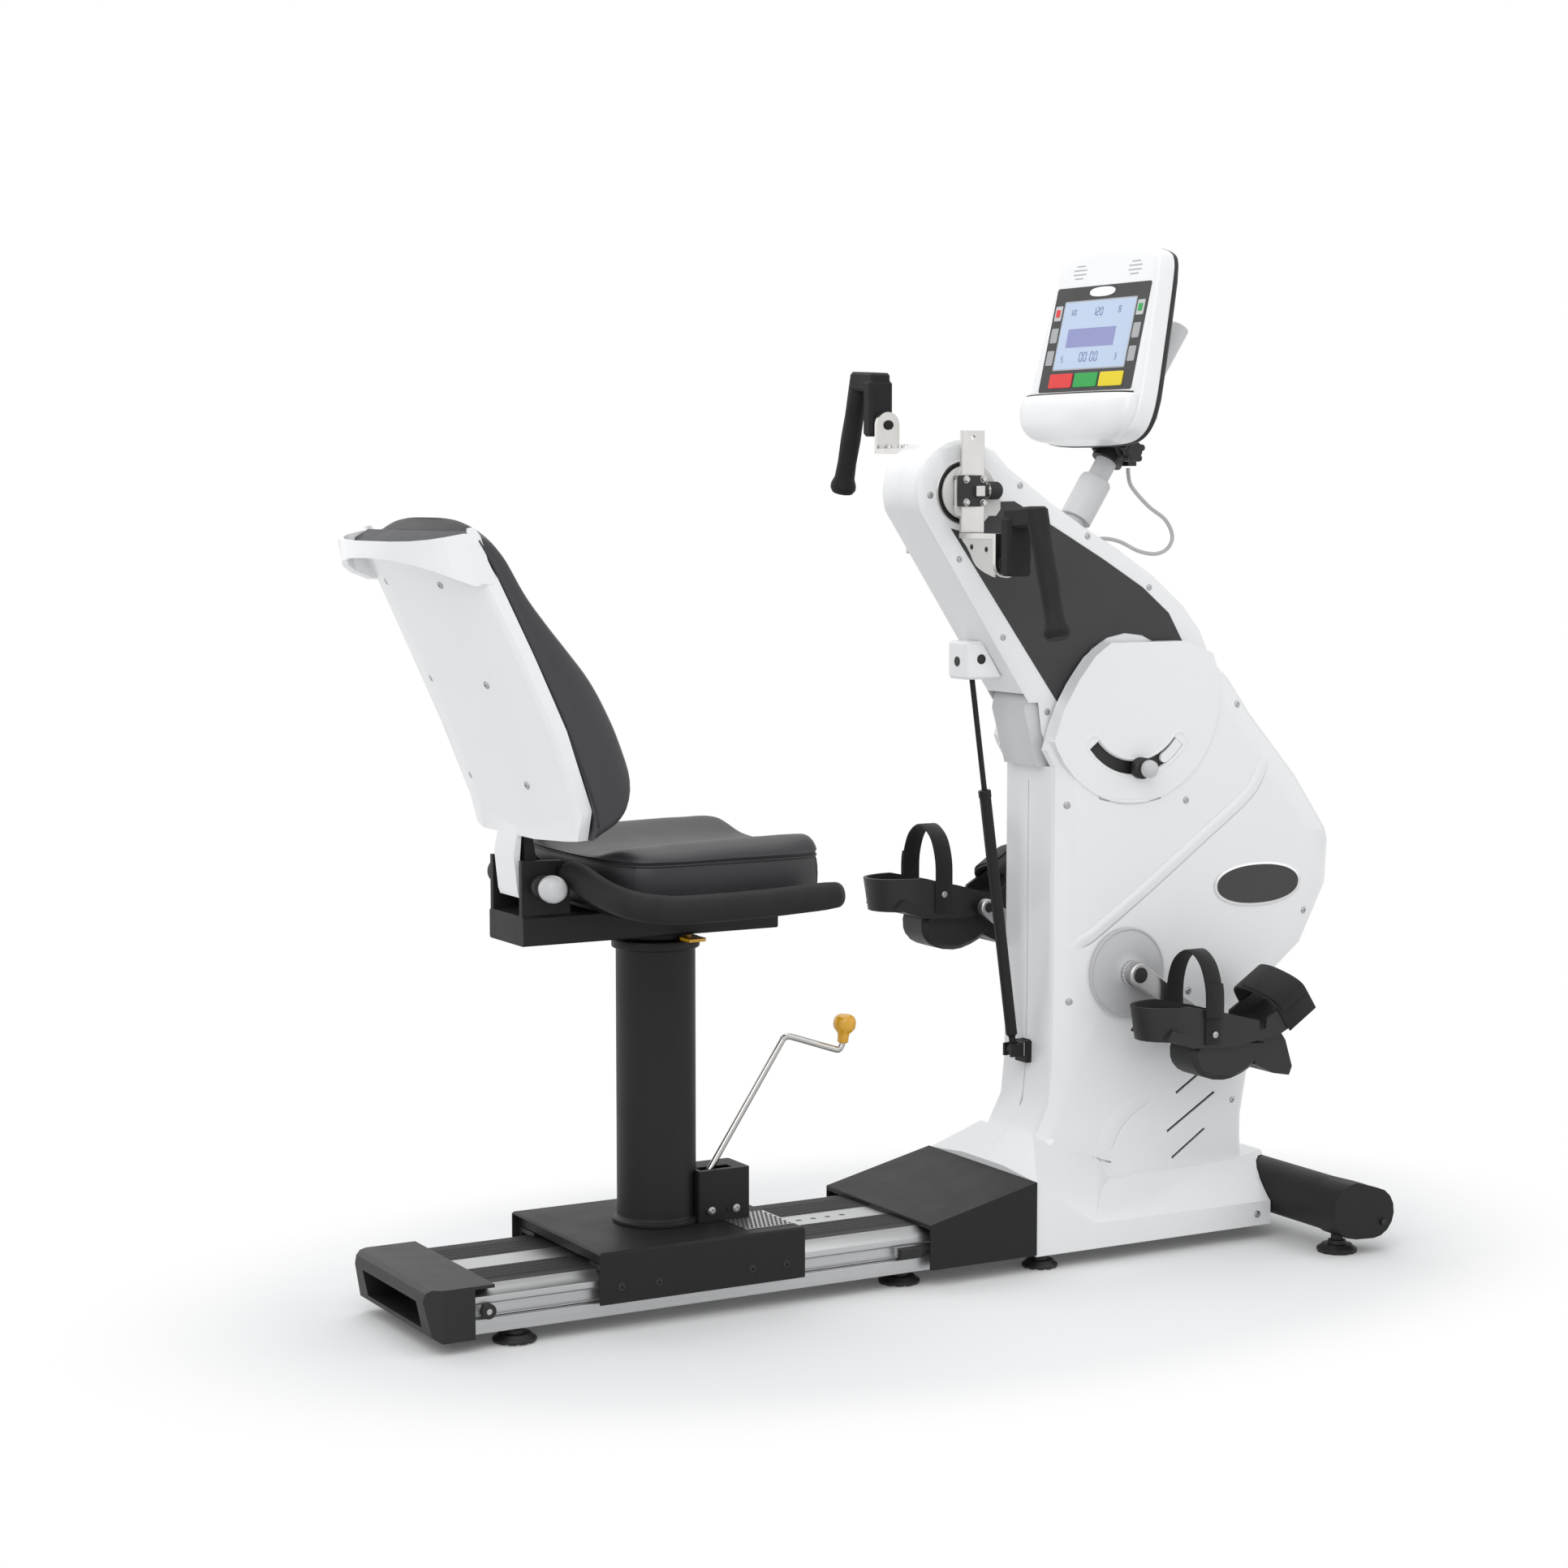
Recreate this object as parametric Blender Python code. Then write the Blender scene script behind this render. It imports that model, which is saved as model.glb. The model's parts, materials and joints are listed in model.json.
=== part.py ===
# Seated total body trainer: sliding swivel seat, foot pedals and hand cranks on a tilting arm.
# Metres, +Z up, +X is the way the user faces, +Y is the user's left.
import math
import bpy
import bmesh
from mathutils import Vector, Matrix

# Driving dimensions
CENTRE_X = -0.01625
GAP = 0.0003                 # clearance between neighbouring pieces
RUN = 0.0002                 # radial running clearance of a shaft in a bore

RAIL_REAR = -0.735
RAIL_FRONT = 0.205
RAIL_TOP = 0.090
RAIL_PLATE = 0.007
RAIL_HALF = 0.1415
HOLE_PITCH = 0.026
HOLE_FIRST = -0.046
HOLE_COUNT = 16
HOLE_R = 0.005
FOOT_R = 0.032

CARRIAGE_X = (-0.5425, -0.2005)
CARRIAGE_HALF = 0.155
CARRIAGE_TOP = 0.121
COLUMN_X = -0.372
COLUMN_R = 0.060
COLUMN_WALL = 0.004
COLUMN_TOP = 0.539
SPINDLE_R = 0.030
PIN_X = HOLE_FIRST - 9 * HOLE_PITCH
PIN_R = 0.0042
LEVER_PIVOT = (-0.3110, 0.1650)

SEAT_PIVOT = (-0.590, 0.650)
SEAT_HALF = 0.200
BACK_HALF = 0.200

HOUSING_HALF = 0.085
HOUSING_WALL = 0.0035
RAISED_SIDE = HOUSING_HALF + 0.0028     # raised round field about the pivot
HOUSING_FLOOR = 0.024
PLINTH_REAR = 0.2155
EAR_INNER = 0.060
EAR_FLOOR = 0.785
PIVOT = (0.449, 0.884)
PIVOT_R = 0.012
CRANK = (0.432, 0.450)
CRANK_R = 0.0125
CRANK_LENGTH = 0.160
CRANK_DROP = math.radians(34.0)
PEDAL_PIN_R = 0.008
CRANK_SIDE = HOUSING_HALF + 0.027      # inner face of a crank arm
CRANK_THICK = 0.016
PEDAL_INNER = CRANK_SIDE + CRANK_THICK + 0.011
PEDAL_WIDTH = 0.100
STRAP_STAND = 0.0018
STRAP_INNER = PEDAL_INNER - STRAP_STAND
STRAP_OUTER = PEDAL_INNER + PEDAL_WIDTH + STRAP_STAND

ARM_HALF = 0.055
ARM_WALL = 0.003
HUB = (0.138, 1.218)
HUB_R = 0.012
HAND_RADIUS = 0.108
HAND_PIN_R = 0.0075
ARM_AXIS = Vector((HUB[0] - PIVOT[0], HUB[1] - PIVOT[1])).normalized()

FLYWHEEL = (0.660, 0.575)
FLYWHEEL_R = 0.095
DRIVE_R = 0.095
DRIVEN_R = 0.019
TRANSFER_R = 0.045

SPRING_FOOT = (0.274, 0.324)
SPRING_HEAD = (0.188, 0.945)

MAST_FOOT = Vector((0.394, 0.0, 1.188))
MAST_HEAD = Vector((0.587, 0.0, 1.486))
MAST_DIR = (MAST_HEAD - MAST_FOOT).normalized()
MAST_R = 0.0175
TILT = (0.4565, 1.2845)
FACE_LEAN = math.radians(13.0)

FRAME_FRONT = 0.672
STABILISER = (0.720, 0.073)
STABILISER_R = 0.044
WHEEL = (0.7735, 0.050)

FINISH = {
    "white_plastic": ((0.80, 0.80, 0.80), 0.32, 0.0),
    "black_plastic": ((0.020, 0.020, 0.021), 0.50, 0.0),
    "black_steel": ((0.025, 0.025, 0.026), 0.42, 0.6),
    "aluminium": ((0.60, 0.60, 0.61), 0.34, 0.9),
    "bright_steel": ((0.66, 0.66, 0.65), 0.22, 1.0),
    "rubber": ((0.018, 0.018, 0.018), 0.75, 0.0),
    "vinyl": ((0.050, 0.050, 0.053), 0.55, 0.0),
    "dark_panel": ((0.060, 0.060, 0.062), 0.60, 0.0),
    "webbing": ((0.016, 0.016, 0.016), 0.85, 0.0),
    "yellow_plastic": ((0.80, 0.42, 0.02), 0.40, 0.0),
    "white_steel": ((0.72, 0.72, 0.73), 0.35, 0.2),
    "pale_plastic": ((0.62, 0.62, 0.62), 0.35, 0.0),
}


# Building helpers

def clear_scene():
    for thing in list(bpy.data.objects):
        bpy.data.objects.remove(thing, do_unlink=True)


def solid(points, faces):
    mesh = bpy.data.meshes.new("solid")
    mesh.from_pydata([tuple(p) for p in points], [], faces)
    work = bmesh.new()
    work.from_mesh(mesh)
    bmesh.ops.recalc_face_normals(work, faces=work.faces)
    work.to_mesh(mesh)
    work.free()
    body = bpy.data.objects.new("solid", mesh)
    bpy.context.collection.objects.link(body)
    return body


def lift(point, axis, level):
    if axis == "x":
        return (level, point[0], point[1])
    if axis == "y":
        return (point[0], level, point[1])
    return (point[0], point[1], level)


def prism(outline, axis, low, high):
    count = len(outline)
    points = [lift(p, axis, low) for p in outline] + [lift(p, axis, high) for p in outline]
    faces = [tuple(range(count)), tuple(range(count, 2 * count))]
    faces += [(i, (i + 1) % count, count + (i + 1) % count, count + i) for i in range(count)]
    return solid(points, faces)


def box(x, y, z):
    return prism([(x[0], y[0]), (x[1], y[0]), (x[1], y[1]), (x[0], y[1])], "z", z[0], z[1])


def soften(body, width, segments=1, chosen=None):
    work = bmesh.new()
    work.from_mesh(body.data)
    edges = [e for e in work.edges if chosen is None or chosen(e)]
    bmesh.ops.bevel(work, geom=edges, offset=width, segments=segments, affect="EDGES", clamp_overlap=True)
    work.to_mesh(body.data)
    work.free()
    return body


def along(axis):
    def test(edge):
        line = (edge.verts[1].co - edge.verts[0].co).normalized()
        return abs(line["xyz".index(axis)]) > 0.99
    return test


def arc(centre, radius, start, end, count):
    steps = [math.radians(start + (end - start) * i / count) for i in range(count + 1)]
    return [(centre[0] + radius * math.cos(a), centre[1] + radius * math.sin(a)) for a in steps]


def loft(rings, closed=False):
    size = len(rings[0])
    points = [p for ring in rings for p in ring]
    faces = []
    last = len(rings) if closed else len(rings) - 1
    for r in range(last):
        a, b = r * size, ((r + 1) % len(rings)) * size
        faces += [(a + i, a + (i + 1) % size, b + (i + 1) % size, b + i) for i in range(size)]
    if not closed:
        faces += [tuple(range(size)), tuple(range(len(points) - size, len(points)))]
    return solid(points, faces)


def frame_at(direction):
    side = direction.orthogonal().normalized()
    return side, direction.cross(side).normalized()


def rod(start, end, r0, r1=None, count=12):
    start, end = Vector(start), Vector(end)
    side, up = frame_at((end - start).normalized())
    rings = []
    for centre, radius in ((start, r0), (end, r0 if r1 is None else r1)):
        turns = [2.0 * math.pi * i / count for i in range(count)]
        rings.append([centre + side * radius * math.cos(a) + up * radius * math.sin(a) for a in turns])
    return loft(rings)


def across(centre, radius, low, high, count=12):
    return rod((centre[0], low, centre[1]), (centre[0], high, centre[1]), radius, None, count)


def upright(centre, radius, low, high, count=12):
    return rod((centre[0], centre[1], low), (centre[0], centre[1], high), radius, None, count)


def clear_radius(radius, count, clearance=RUN):
    return (radius + clearance) / math.cos(math.pi / count)


def bore(centre, radius, low, high, count=16):
    return across(centre, clear_radius(radius, count), low, high, count)


def revolve(profile, base, axis, count=12, closed=False):
    base, axis = Vector(base), Vector(axis).normalized()
    side, up = frame_at(axis)
    points, rows = [], []
    for radius, level in profile:
        if radius < 1e-7:
            rows.append([len(points)])
            points.append(base + axis * level)
            continue
        rows.append(list(range(len(points), len(points) + count)))
        for i in range(count):
            a = 2.0 * math.pi * i / count
            points.append(base + axis * level + side * radius * math.cos(a) + up * radius * math.sin(a))
    faces = []
    pairs = list(zip(rows, rows[1:])) + ([(rows[-1], rows[0])] if closed else [])
    for a, b in pairs:
        for i in range(count):
            j = (i + 1) % count
            if len(a) == 1 and len(b) > 1:
                faces.append((a[0], b[i], b[j]))
            elif len(b) == 1 and len(a) > 1:
                faces.append((a[i], a[j], b[0]))
            elif len(a) > 1 and len(b) > 1:
                faces.append((a[i], a[j], b[j], b[i]))
    return solid(points, faces)


def smooth_path(points, steps=6, closed=False):
    points = [Vector(p) for p in points]
    count = len(points)
    out = []
    last = count if closed else count - 1
    for i in range(last):
        p1, p2 = points[i], points[(i + 1) % count]
        p0 = points[i - 1] if i > 0 or closed else p1 * 2 - p2
        p3 = points[(i + 2) % count] if i + 2 < count or closed else p2 * 2 - p1
        for s in range(steps):
            t = s / steps
            out.append(0.5 * (2 * p1 + (p2 - p0) * t + (2 * p0 - 5 * p1 + 4 * p2 - p3) * t * t
                              + (3 * p1 - 3 * p2 + p3 - p0) * t * t * t))
    if not closed:
        out.append(points[-1])
    return out


def tube_along(points, radius, count=10):
    points = [Vector(p) for p in points]
    tangents = []
    for i in range(len(points)):
        before, after = points[max(i - 1, 0)], points[min(i + 1, len(points) - 1)]
        tangents.append((after - before).normalized())
    side = frame_at(tangents[0])[0]
    rings = []
    for i, (point, tangent) in enumerate(zip(points, tangents)):
        side = (side - tangent * side.dot(tangent)).normalized()
        up = tangent.cross(side)
        size = radius[i] if isinstance(radius, list) else radius
        turns = [2.0 * math.pi * k / count for k in range(count)]
        rings.append([point + side * size * math.cos(a) + up * size * math.sin(a) for a in turns])
    return loft(rings)


def strap(points, side, width, thick, closed=False):
    points = [Vector(p) for p in points]
    count = len(points)
    rings = []
    for i, point in enumerate(points):
        before = points[i - 1] if i > 0 or closed else points[0]
        after = points[(i + 1) % count] if i < count - 1 or closed else points[-1]
        tangent = (after - before).normalized()
        across_dir = (Vector(side) - tangent * Vector(side).dot(tangent)).normalized()
        out = tangent.cross(across_dir).normalized()
        corners = ((-1, -1), (1, -1), (1, 1), (-1, 1))
        rings.append([point + across_dir * (width / 2 * a) + out * (thick / 2 * b) for a, b in corners])
    return loft(rings, closed)


def hull(points):
    work = bmesh.new()
    for point in points:
        work.verts.new(point)
    found = bmesh.ops.convex_hull(work, input=work.verts)
    loose = [v for v in work.verts if not v.link_faces]
    bmesh.ops.delete(work, geom=loose, context="VERTS")
    bmesh.ops.dissolve_limit(work, angle_limit=0.01, verts=work.verts, edges=work.edges)
    bmesh.ops.recalc_face_normals(work, faces=work.faces)
    mesh = bpy.data.meshes.new("solid")
    work.to_mesh(mesh)
    work.free()
    body = bpy.data.objects.new("solid", mesh)
    bpy.context.collection.objects.link(body)
    return body


def combine(body, others, operation):
    for other in others:
        change = body.modifiers.new("combine", "BOOLEAN")
        change.operation = operation
        change.solver = "EXACT"
        change.object = other
    bpy.context.view_layer.update()
    graph = bpy.context.evaluated_depsgraph_get()
    baked = bpy.data.meshes.new_from_object(body.evaluated_get(graph))
    body.modifiers.clear()
    body.data = baked
    for other in others:
        bpy.data.objects.remove(other, do_unlink=True)
    return body


def join(body, *others):
    return combine(body, others, "UNION")


def cut(body, *others):
    return combine(body, others, "DIFFERENCE")


def keep(body, other):
    return combine(body, [other], "INTERSECT")


def flat_faced(body):
    work = bmesh.new()
    work.from_mesh(body.data)
    bmesh.ops.connect_verts_nonplanar(work, angle_limit=0.0005, faces=work.faces)
    work.to_mesh(body.data)
    work.free()
    return body


def mirrored(body):
    body.data.transform(Matrix.Diagonal((1.0, -1.0, 1.0, 1.0)))
    body.data.flip_normals()
    return body


def turned(body, axis, angle, centre):
    centre = Vector(centre)
    spin = Matrix.Translation(centre) @ Matrix.Rotation(angle, 4, axis) @ Matrix.Translation(-centre)
    body.data.transform(spin)
    return body


def moved(body, offset):
    body.data.transform(Matrix.Translation(offset))
    return body


def finish(name, slot):
    colour, rough, metal = FINISH[slot]
    material = bpy.data.materials.new(slot + "_" + name)
    material.use_nodes = True
    shader = material.node_tree.nodes["Principled BSDF"]
    shader.inputs["Base Color"].default_value = (*colour, 1.0)
    shader.inputs["Roughness"].default_value = rough
    shader.inputs["Metallic"].default_value = metal
    material.diffuse_color = (*colour, 1.0)
    return material


def node(name, body, slot, origin=(0.0, 0.0, 0.0), angle=32.0):
    body.name = name
    body.data.name = name
    body.data.transform(Matrix.Translation(-Vector(origin)))
    body.location = Vector(origin) + Vector((CENTRE_X, 0.0, 0.0))
    work = bmesh.new()
    work.from_mesh(body.data)
    bmesh.ops.remove_doubles(work, verts=work.verts, dist=0.00002)
    bmesh.ops.dissolve_degenerate(work, edges=work.edges, dist=0.00001)
    bmesh.ops.dissolve_limit(work, angle_limit=0.004, verts=work.verts, edges=work.edges)
    for edge in work.edges:
        edge.smooth = edge.calc_face_angle(0.0) < math.radians(angle)
    for face in work.faces:
        face.smooth = True
    work.to_mesh(body.data)
    work.free()
    body.data.materials.clear()
    body.data.materials.append(finish(name, slot))
    return body


# Rail and its fittings

def foot(x, y, radius, top):
    pad = revolve([(0.0, 0.0), (radius, 0.0), (radius, 0.005), (radius * 0.72, 0.012), (0.0, 0.012)],
                  (x, y, 0.0), (0, 0, 1), 12)
    return [pad, upright((x, y), 0.008, 0.010, top, 8)]


def rail_beam():
    under = RAIL_TOP - RAIL_PLATE
    side = [(0.0, RAIL_TOP), (0.118, RAIL_TOP), (RAIL_HALF, 0.078), (RAIL_HALF, 0.069), (0.136, 0.066),
            (0.136, 0.048), (RAIL_HALF, 0.045), (RAIL_HALF, 0.024), (0.134, 0.024), (0.134, 0.031),
            (0.128, 0.036), (0.128, 0.073), (0.114, under), (0.0, under)]
    inner = [(-y, z) for y, z in reversed(side[1:-1])]
    beam = prism(side[:-1] + [(0.0, under)] + inner, "x", RAIL_REAR, RAIL_FRONT)
    extras = []
    for x, y in ((-0.662, 0.117), (-0.005, 0.105)):
        extras.append(box((x - 0.018, x + 0.018), (-0.131, 0.131), (0.034, 0.046)))
        for sign in (-1, 1):
            extras += foot(x, sign * y, FOOT_R, 0.036)
    for sign in (-1, 1):
        lo, hi = sorted((sign * 0.132, sign * 0.152))
        extras.append(across((-0.716, 0.0575), 0.0105, lo, hi, 12))
        lo, hi = sorted((sign * 0.132, sign * 0.1535))
        extras.append(box((-0.030, 0.008), (lo, hi), (0.050, 0.064)))
    beam = join(beam, *extras)
    holes = [upright((HOLE_FIRST - i * HOLE_PITCH, 0.0), HOLE_R, 0.075,
                     0.095, 8) for i in range(HOLE_COUNT)]
    return node("rail_beam", cut(beam, *holes), "aluminium")


def rear_end_cap():
    side = [(RAIL_REAR - GAP, 0.018), (-0.786, 0.018), (-0.798, 0.026), (-0.809, 0.078), (-0.806, 0.090),
            (-0.798, 0.0955), (-0.705, 0.0955), (-0.705, RAIL_TOP + GAP), (RAIL_REAR - GAP, RAIL_TOP + GAP)]
    cap = prism(side, "y", -0.1465, 0.1465)
    corner = [(-0.82, -0.1465), (-0.785, -0.1465), (-0.82, -0.122)]
    left = prism([(x, -y) for x, y in corner], "z", 0.0, 0.12)
    recess = box((-0.83, -0.752), (-0.102, 0.102), (0.034, 0.074))
    return node("rear_end_cap", cut(cap, prism(corner, "z", 0.0, 0.12), left, recess), "black_plastic")


def wedge_cover():
    front = PLINTH_REAR - GAP
    shell = prism([(0.018, 0.027), (front, 0.027), (front, 0.144), (0.018, 0.098)], "y", -0.160, 0.160)
    hollow = prism([(0.0, 0.010), (0.24, 0.010), (0.24, 0.1468), (0.0, 0.0908)], "y", -0.1568, 0.1568)
    lip = box((0.018, 0.0212), (-0.1590, 0.1590), (RAIL_TOP + GAP, 0.0970))
    return node("wedge_cover", join(cut(shell, hollow), lip), "black_plastic")


# Tower

REAR_LINE = [(0.024, 0.2230), (0.150, 0.2230), (0.190, 0.265), (0.241, 0.292), (0.320, 0.300),
             (0.785, 0.300),
             (0.812, 0.283), (0.874, 0.304), (0.923, 0.334), (0.960, 0.365), (0.980, 0.395)]
FRONT_LINE = [(0.024, 0.700), (0.150, 0.690), (0.190, 0.690), (0.300, 0.710), (0.420, 0.745),
              (0.470, 0.809),
              (0.569, 0.861), (0.640, 0.865), (0.660, 0.859), (0.750, 0.795), (0.855, 0.700),
              (0.916, 0.653),
              (0.957, 0.607), (0.980, 0.545)]
BODY_LEVELS = [0.150, 0.190, 0.241, 0.300, 0.420, 0.470, 0.569, 0.640, 0.660, 0.750, 0.785,
               0.812, 0.855, 0.885,
               0.916, 0.940, 0.957, 0.970]


def read_line(line, level):
    for (z0, x0), (z1, x1) in zip(line, line[1:]):
        if z0 <= level <= z1:
            return x0 + (x1 - x0) * (level - z0) / (z1 - z0)
    return line[-1][1] if level > line[-1][0] else line[0][1]


def body_section(level, inset, half):
    rear = read_line(REAR_LINE, level) + inset
    front = read_line(FRONT_LINE, level) - inset
    edge = half - inset
    rear_edge = edge - 0.013
    right = [(rear, 0.0), (rear, rear_edge - 0.010), (rear + 0.004, rear_edge - 0.003), (rear + 0.010,
                                                                                         rear_edge),
             (rear + 0.034, edge), (rear + 0.055, edge), (front - 0.055, edge), (front - 0.026,
                                                                                 edge - 0.005),
             (front - 0.008, edge - 0.020), (front, edge - 0.045), (front, 0.0)]
    ring = right + [(x, -y) for x, y in reversed(right[1:-1])]
    return [(x, y, level) for x, y in ring]


def body_solid(inset, top, bottom):
    levels = [z for z in BODY_LEVELS if bottom < z < top]
    rings = [body_section(bottom, inset, HOUSING_HALF)]
    rings += [body_section(z, inset, HOUSING_HALF) for z in levels]
    rings.append(body_section(top, inset, HOUSING_HALF))
    return loft(rings)


def plinth_solid(inset):
    wide, low = 0.157 - inset, HOUSING_FLOOR - (0.010 if inset else 0.0)
    rear, front = PLINTH_REAR + inset, 0.717 - inset
    drop = inset * 1.2
    points = []
    for sign in (-1, 1):
        points += [(rear, sign * wide, low), (0.690 - inset, sign * wide, low), (front, sign * 0.128, low),
                   (0.328, sign * wide, 0.065 - drop), (0.690 - inset, sign * wide, 0.063 - drop),
                   (rear, sign * wide, 0.065 - drop), (front, sign * 0.128, 0.080 - drop),
                   (0.403, sign * (0.099 - inset), 0.1165 - drop), (0.640, sign * (0.100 - inset),
                                                                    0.124 - drop),
                   (0.755 - inset, sign * (0.050 - inset), 0.085 - drop),
                   (0.730 - inset, sign * (0.060 - inset), 0.124 - drop)]
    base = hull(points)
    points = []
    for sign in (-1, 1):
        points += [(rear, sign * wide, low), (rear, sign * wide, 0.142 - drop), (0.330, sign * wide,
                                                                                 0.064 - drop),
                   (0.330, sign * wide, low), (0.262 + inset, sign * (0.076 - inset), 0.196 - drop),
                   (0.380, sign * (0.088 - inset), 0.150 - drop), (rear, sign * 0.060, 0.152 - drop),
                   (0.430, sign * 0.090, 0.070)]
    return join(base, hull(points))


def slot_cutter(radius, half_width, centre_angle, half_angle, low, high):
    outer = arc(PIVOT, radius + half_width, centre_angle - half_angle, centre_angle + half_angle, 12)
    inner = arc(PIVOT, radius - half_width, centre_angle + half_angle, centre_angle - half_angle, 12)
    return prism(outer + inner, "y", low, high)


def side_outline(inset):
    rear = [(read_line(REAR_LINE, z) + inset, z) for z in (0.70, 0.785, 0.812, 0.874, 0.923, 0.960, 0.9799)]
    front = [(read_line(FRONT_LINE, z) - inset, z) for z in (0.9799, 0.957, 0.916, 0.855, 0.750, 0.70)]
    return rear + front


def tower_shell():
    outer = join(body_solid(0.0, 0.980, 0.040), plinth_solid(0.0))
    raised = keep(across((0.445, 0.890), 0.168, -RAISED_SIDE, RAISED_SIDE, 40), prism(side_outline(0.002),
                                                                                      "y", -0.1, 0.1))
    outer = join(outer, raised)
    inner = join(body_solid(HOUSING_WALL, 0.9765, 0.030), plinth_solid(HOUSING_WALL))
    outer = cut(outer, inner)
    cutters = [prism([(0.20, EAR_FLOOR), (0.62, EAR_FLOOR), (0.646, 0.905), (0.75, 0.905),
                      (0.75, 1.1), (0.20, 1.1)],
                     "y", -EAR_INNER, EAR_INNER),
               box((0.19, 0.80), (-0.20, 0.20), (-0.02, HOUSING_FLOOR)),
               slot_cutter(0.105, 0.0115, 270.0, 52.0, -0.10, -0.05),
               across(CRANK, 0.024, -0.12, 0.12, 12),
               box((0.285, 0.33), (-0.0135, 0.0135), (0.3105, 0.3395)),
               across(STABILISER, STABILISER_R + 0.0015, -0.20, 0.20, 20),
               box((0.660, 0.700), (-0.061, 0.061), (0.0, 0.0800)), box((0.6765, 0.800), (-0.20, 0.20),
                                                                        (0.0, 0.0730)),
               box((0.190, 0.230), (-0.061, 0.061), (0.0, 0.0805))]
    for (x0, z0), (x1, z1) in (((0.536, 0.242), (0.583, 0.271)), ((0.519, 0.180), (0.614, 0.237)),
                               ((0.529, 0.135), (0.595, 0.178))):
        length = math.hypot(x1 - x0, z1 - z0)
        vent = box((-length / 2, length / 2), (-0.2, 0.2), (-0.0022, 0.0022))
        vent.data.transform(Matrix.Rotation(-math.atan2(z1 - z0, x1 - x0), 4, "Y"))
        cutters.append(moved(vent, ((x0 + x1) / 2, 0.0, (z0 + z1) / 2)))
    return cut(outer, *cutters)


def housings():
    shell = tower_shell()
    for name, sign in (("housing_left", 1), ("housing_right", -1)):
        half = shell.copy()
        half.data = shell.data.copy()
        bpy.context.collection.objects.link(half)
        span = sorted((sign * GAP / 2, sign * 0.3))
        node(name, keep(half, box((0.0, 1.2), span, (-0.1, 1.3))), "white_plastic", angle=26.0)
    bpy.data.objects.remove(shell, do_unlink=True)


def tower_frame():
    frame = box((RAIL_FRONT + GAP, FRAME_FRONT), (-0.060, 0.060), (0.034, 0.079))
    parts = [box((0.222, 0.262), (-0.148, 0.148), (0.034, 0.060)),
             box((RAIL_FRONT - 0.060, RAIL_FRONT + 0.008), (-0.050, 0.050),
                 (0.062, RAIL_TOP - RAIL_PLATE - GAP)),
             box((0.402, 0.462), (-0.020, 0.020), (0.070, 0.884)),
             across(CRANK, 0.030, -0.033, 0.033, 16),
             across(PIVOT, 0.034, -0.020, 0.020, 16)]
    for x, y in ((0.240, 0.130), (0.240, -0.130)):
        parts += foot(x, y, 0.028, 0.040)
    for sign in (-1, 1):
        span = sorted((sign * 0.018, sign * 0.028))
        parts.append(box((0.450, 0.676), span, (0.560, 0.590)))
        span = sorted((sign * 0.0075, sign * 0.0125))
        parts.append(hull([(x, y, z) for y in span for x, z in
                           ((0.262, 0.314), (0.262, 0.334), (0.286, 0.314), (0.286, 0.336))]))
    parts += [box((0.282, 0.404), (-0.0120, 0.0120), (0.3145, 0.3355)),
              across(SPRING_FOOT, 0.0045, -0.010, 0.010, 8),
              box((0.320, 0.410), (-0.030, 0.030), (0.737, 0.756)),
              prism([(0.3045, 0.735), (0.337, 0.735), (0.337, 0.892), (0.329, 0.900), (0.264, 0.900),
                     (0.259, 0.875), (0.2836, 0.7857),
                     (0.3045, 0.7857)], "y", -0.0465, 0.0465)]
    frame = join(frame, *parts)
    eye_space = across(SPRING_FOOT, 0.0135, -0.0075, 0.0075, 12)
    pin = across(SPRING_FOOT, 0.0045, -0.0080, 0.0080, 8)
    frame = cut(frame, bore(CRANK, CRANK_R, -0.05, 0.05), bore(PIVOT, PIVOT_R, -0.05, 0.05),
                bore(FLYWHEEL, 0.010, -0.05, 0.05, 12), eye_space)
    frame = join(frame, pin)
    return node("tower_frame", frame, "white_steel")


def front_stabiliser():
    x, z = STABILISER
    bar = rod((x, -0.318, z), (x, 0.318, z), STABILISER_R, None, 20)
    lug = box((FRAME_FRONT + GAP, x - 0.025), (-0.0595, 0.0595), (0.038, 0.078))
    parts = [lug]
    cutters = [rod((x, -0.250, z), (x, 0.250, z), STABILISER_R - 0.004, None, 20), upright((x, 0.100),
                                                                                           0.005,
                                                                                           0.0, z, 8),
               across(WHEEL, clear_radius(0.005, 8), -0.33, 0.33, 8)]
    for sign in (-1, 1):
        low, high = sorted((sign * 0.262, sign * 0.322))
        outline = arc((x, z), 0.046, 90.0, 270.0, 8) + arc((0.756, 0.066), 0.041, -90.0, 80.0, 8)
        parts.append(prism(outline, "y", low, high))
        parts += foot(0.716, sign * 0.279, FOOT_R, 0.036)
        low, high = sorted((sign * 0.284, sign * 0.308))
        cutters.append(box((WHEEL[0] - 0.0305, 0.83), (low, high), (0.015, 0.110)))
    return node("front_stabiliser", cut(join(bar, *parts), *cutters), "black_plastic")


def wheels():
    for name, sign in (("wheel_left", 1), ("wheel_right", -1)):
        profile = [(0.0, -0.030), (0.005, -0.030), (0.005, -0.011), (0.024, -0.0105), (0.027, -0.007),
                   (0.027, 0.007),
                   (0.024, 0.0105), (0.005, 0.011), (0.005, 0.030), (0.0, 0.030)]
        wheel = revolve(profile, (WHEEL[0], sign * 0.296, WHEEL[1]), (0, 1, 0), 16)
        node(name, wheel, "black_plastic", (WHEEL[0], sign * 0.296, WHEEL[1]))


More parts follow.
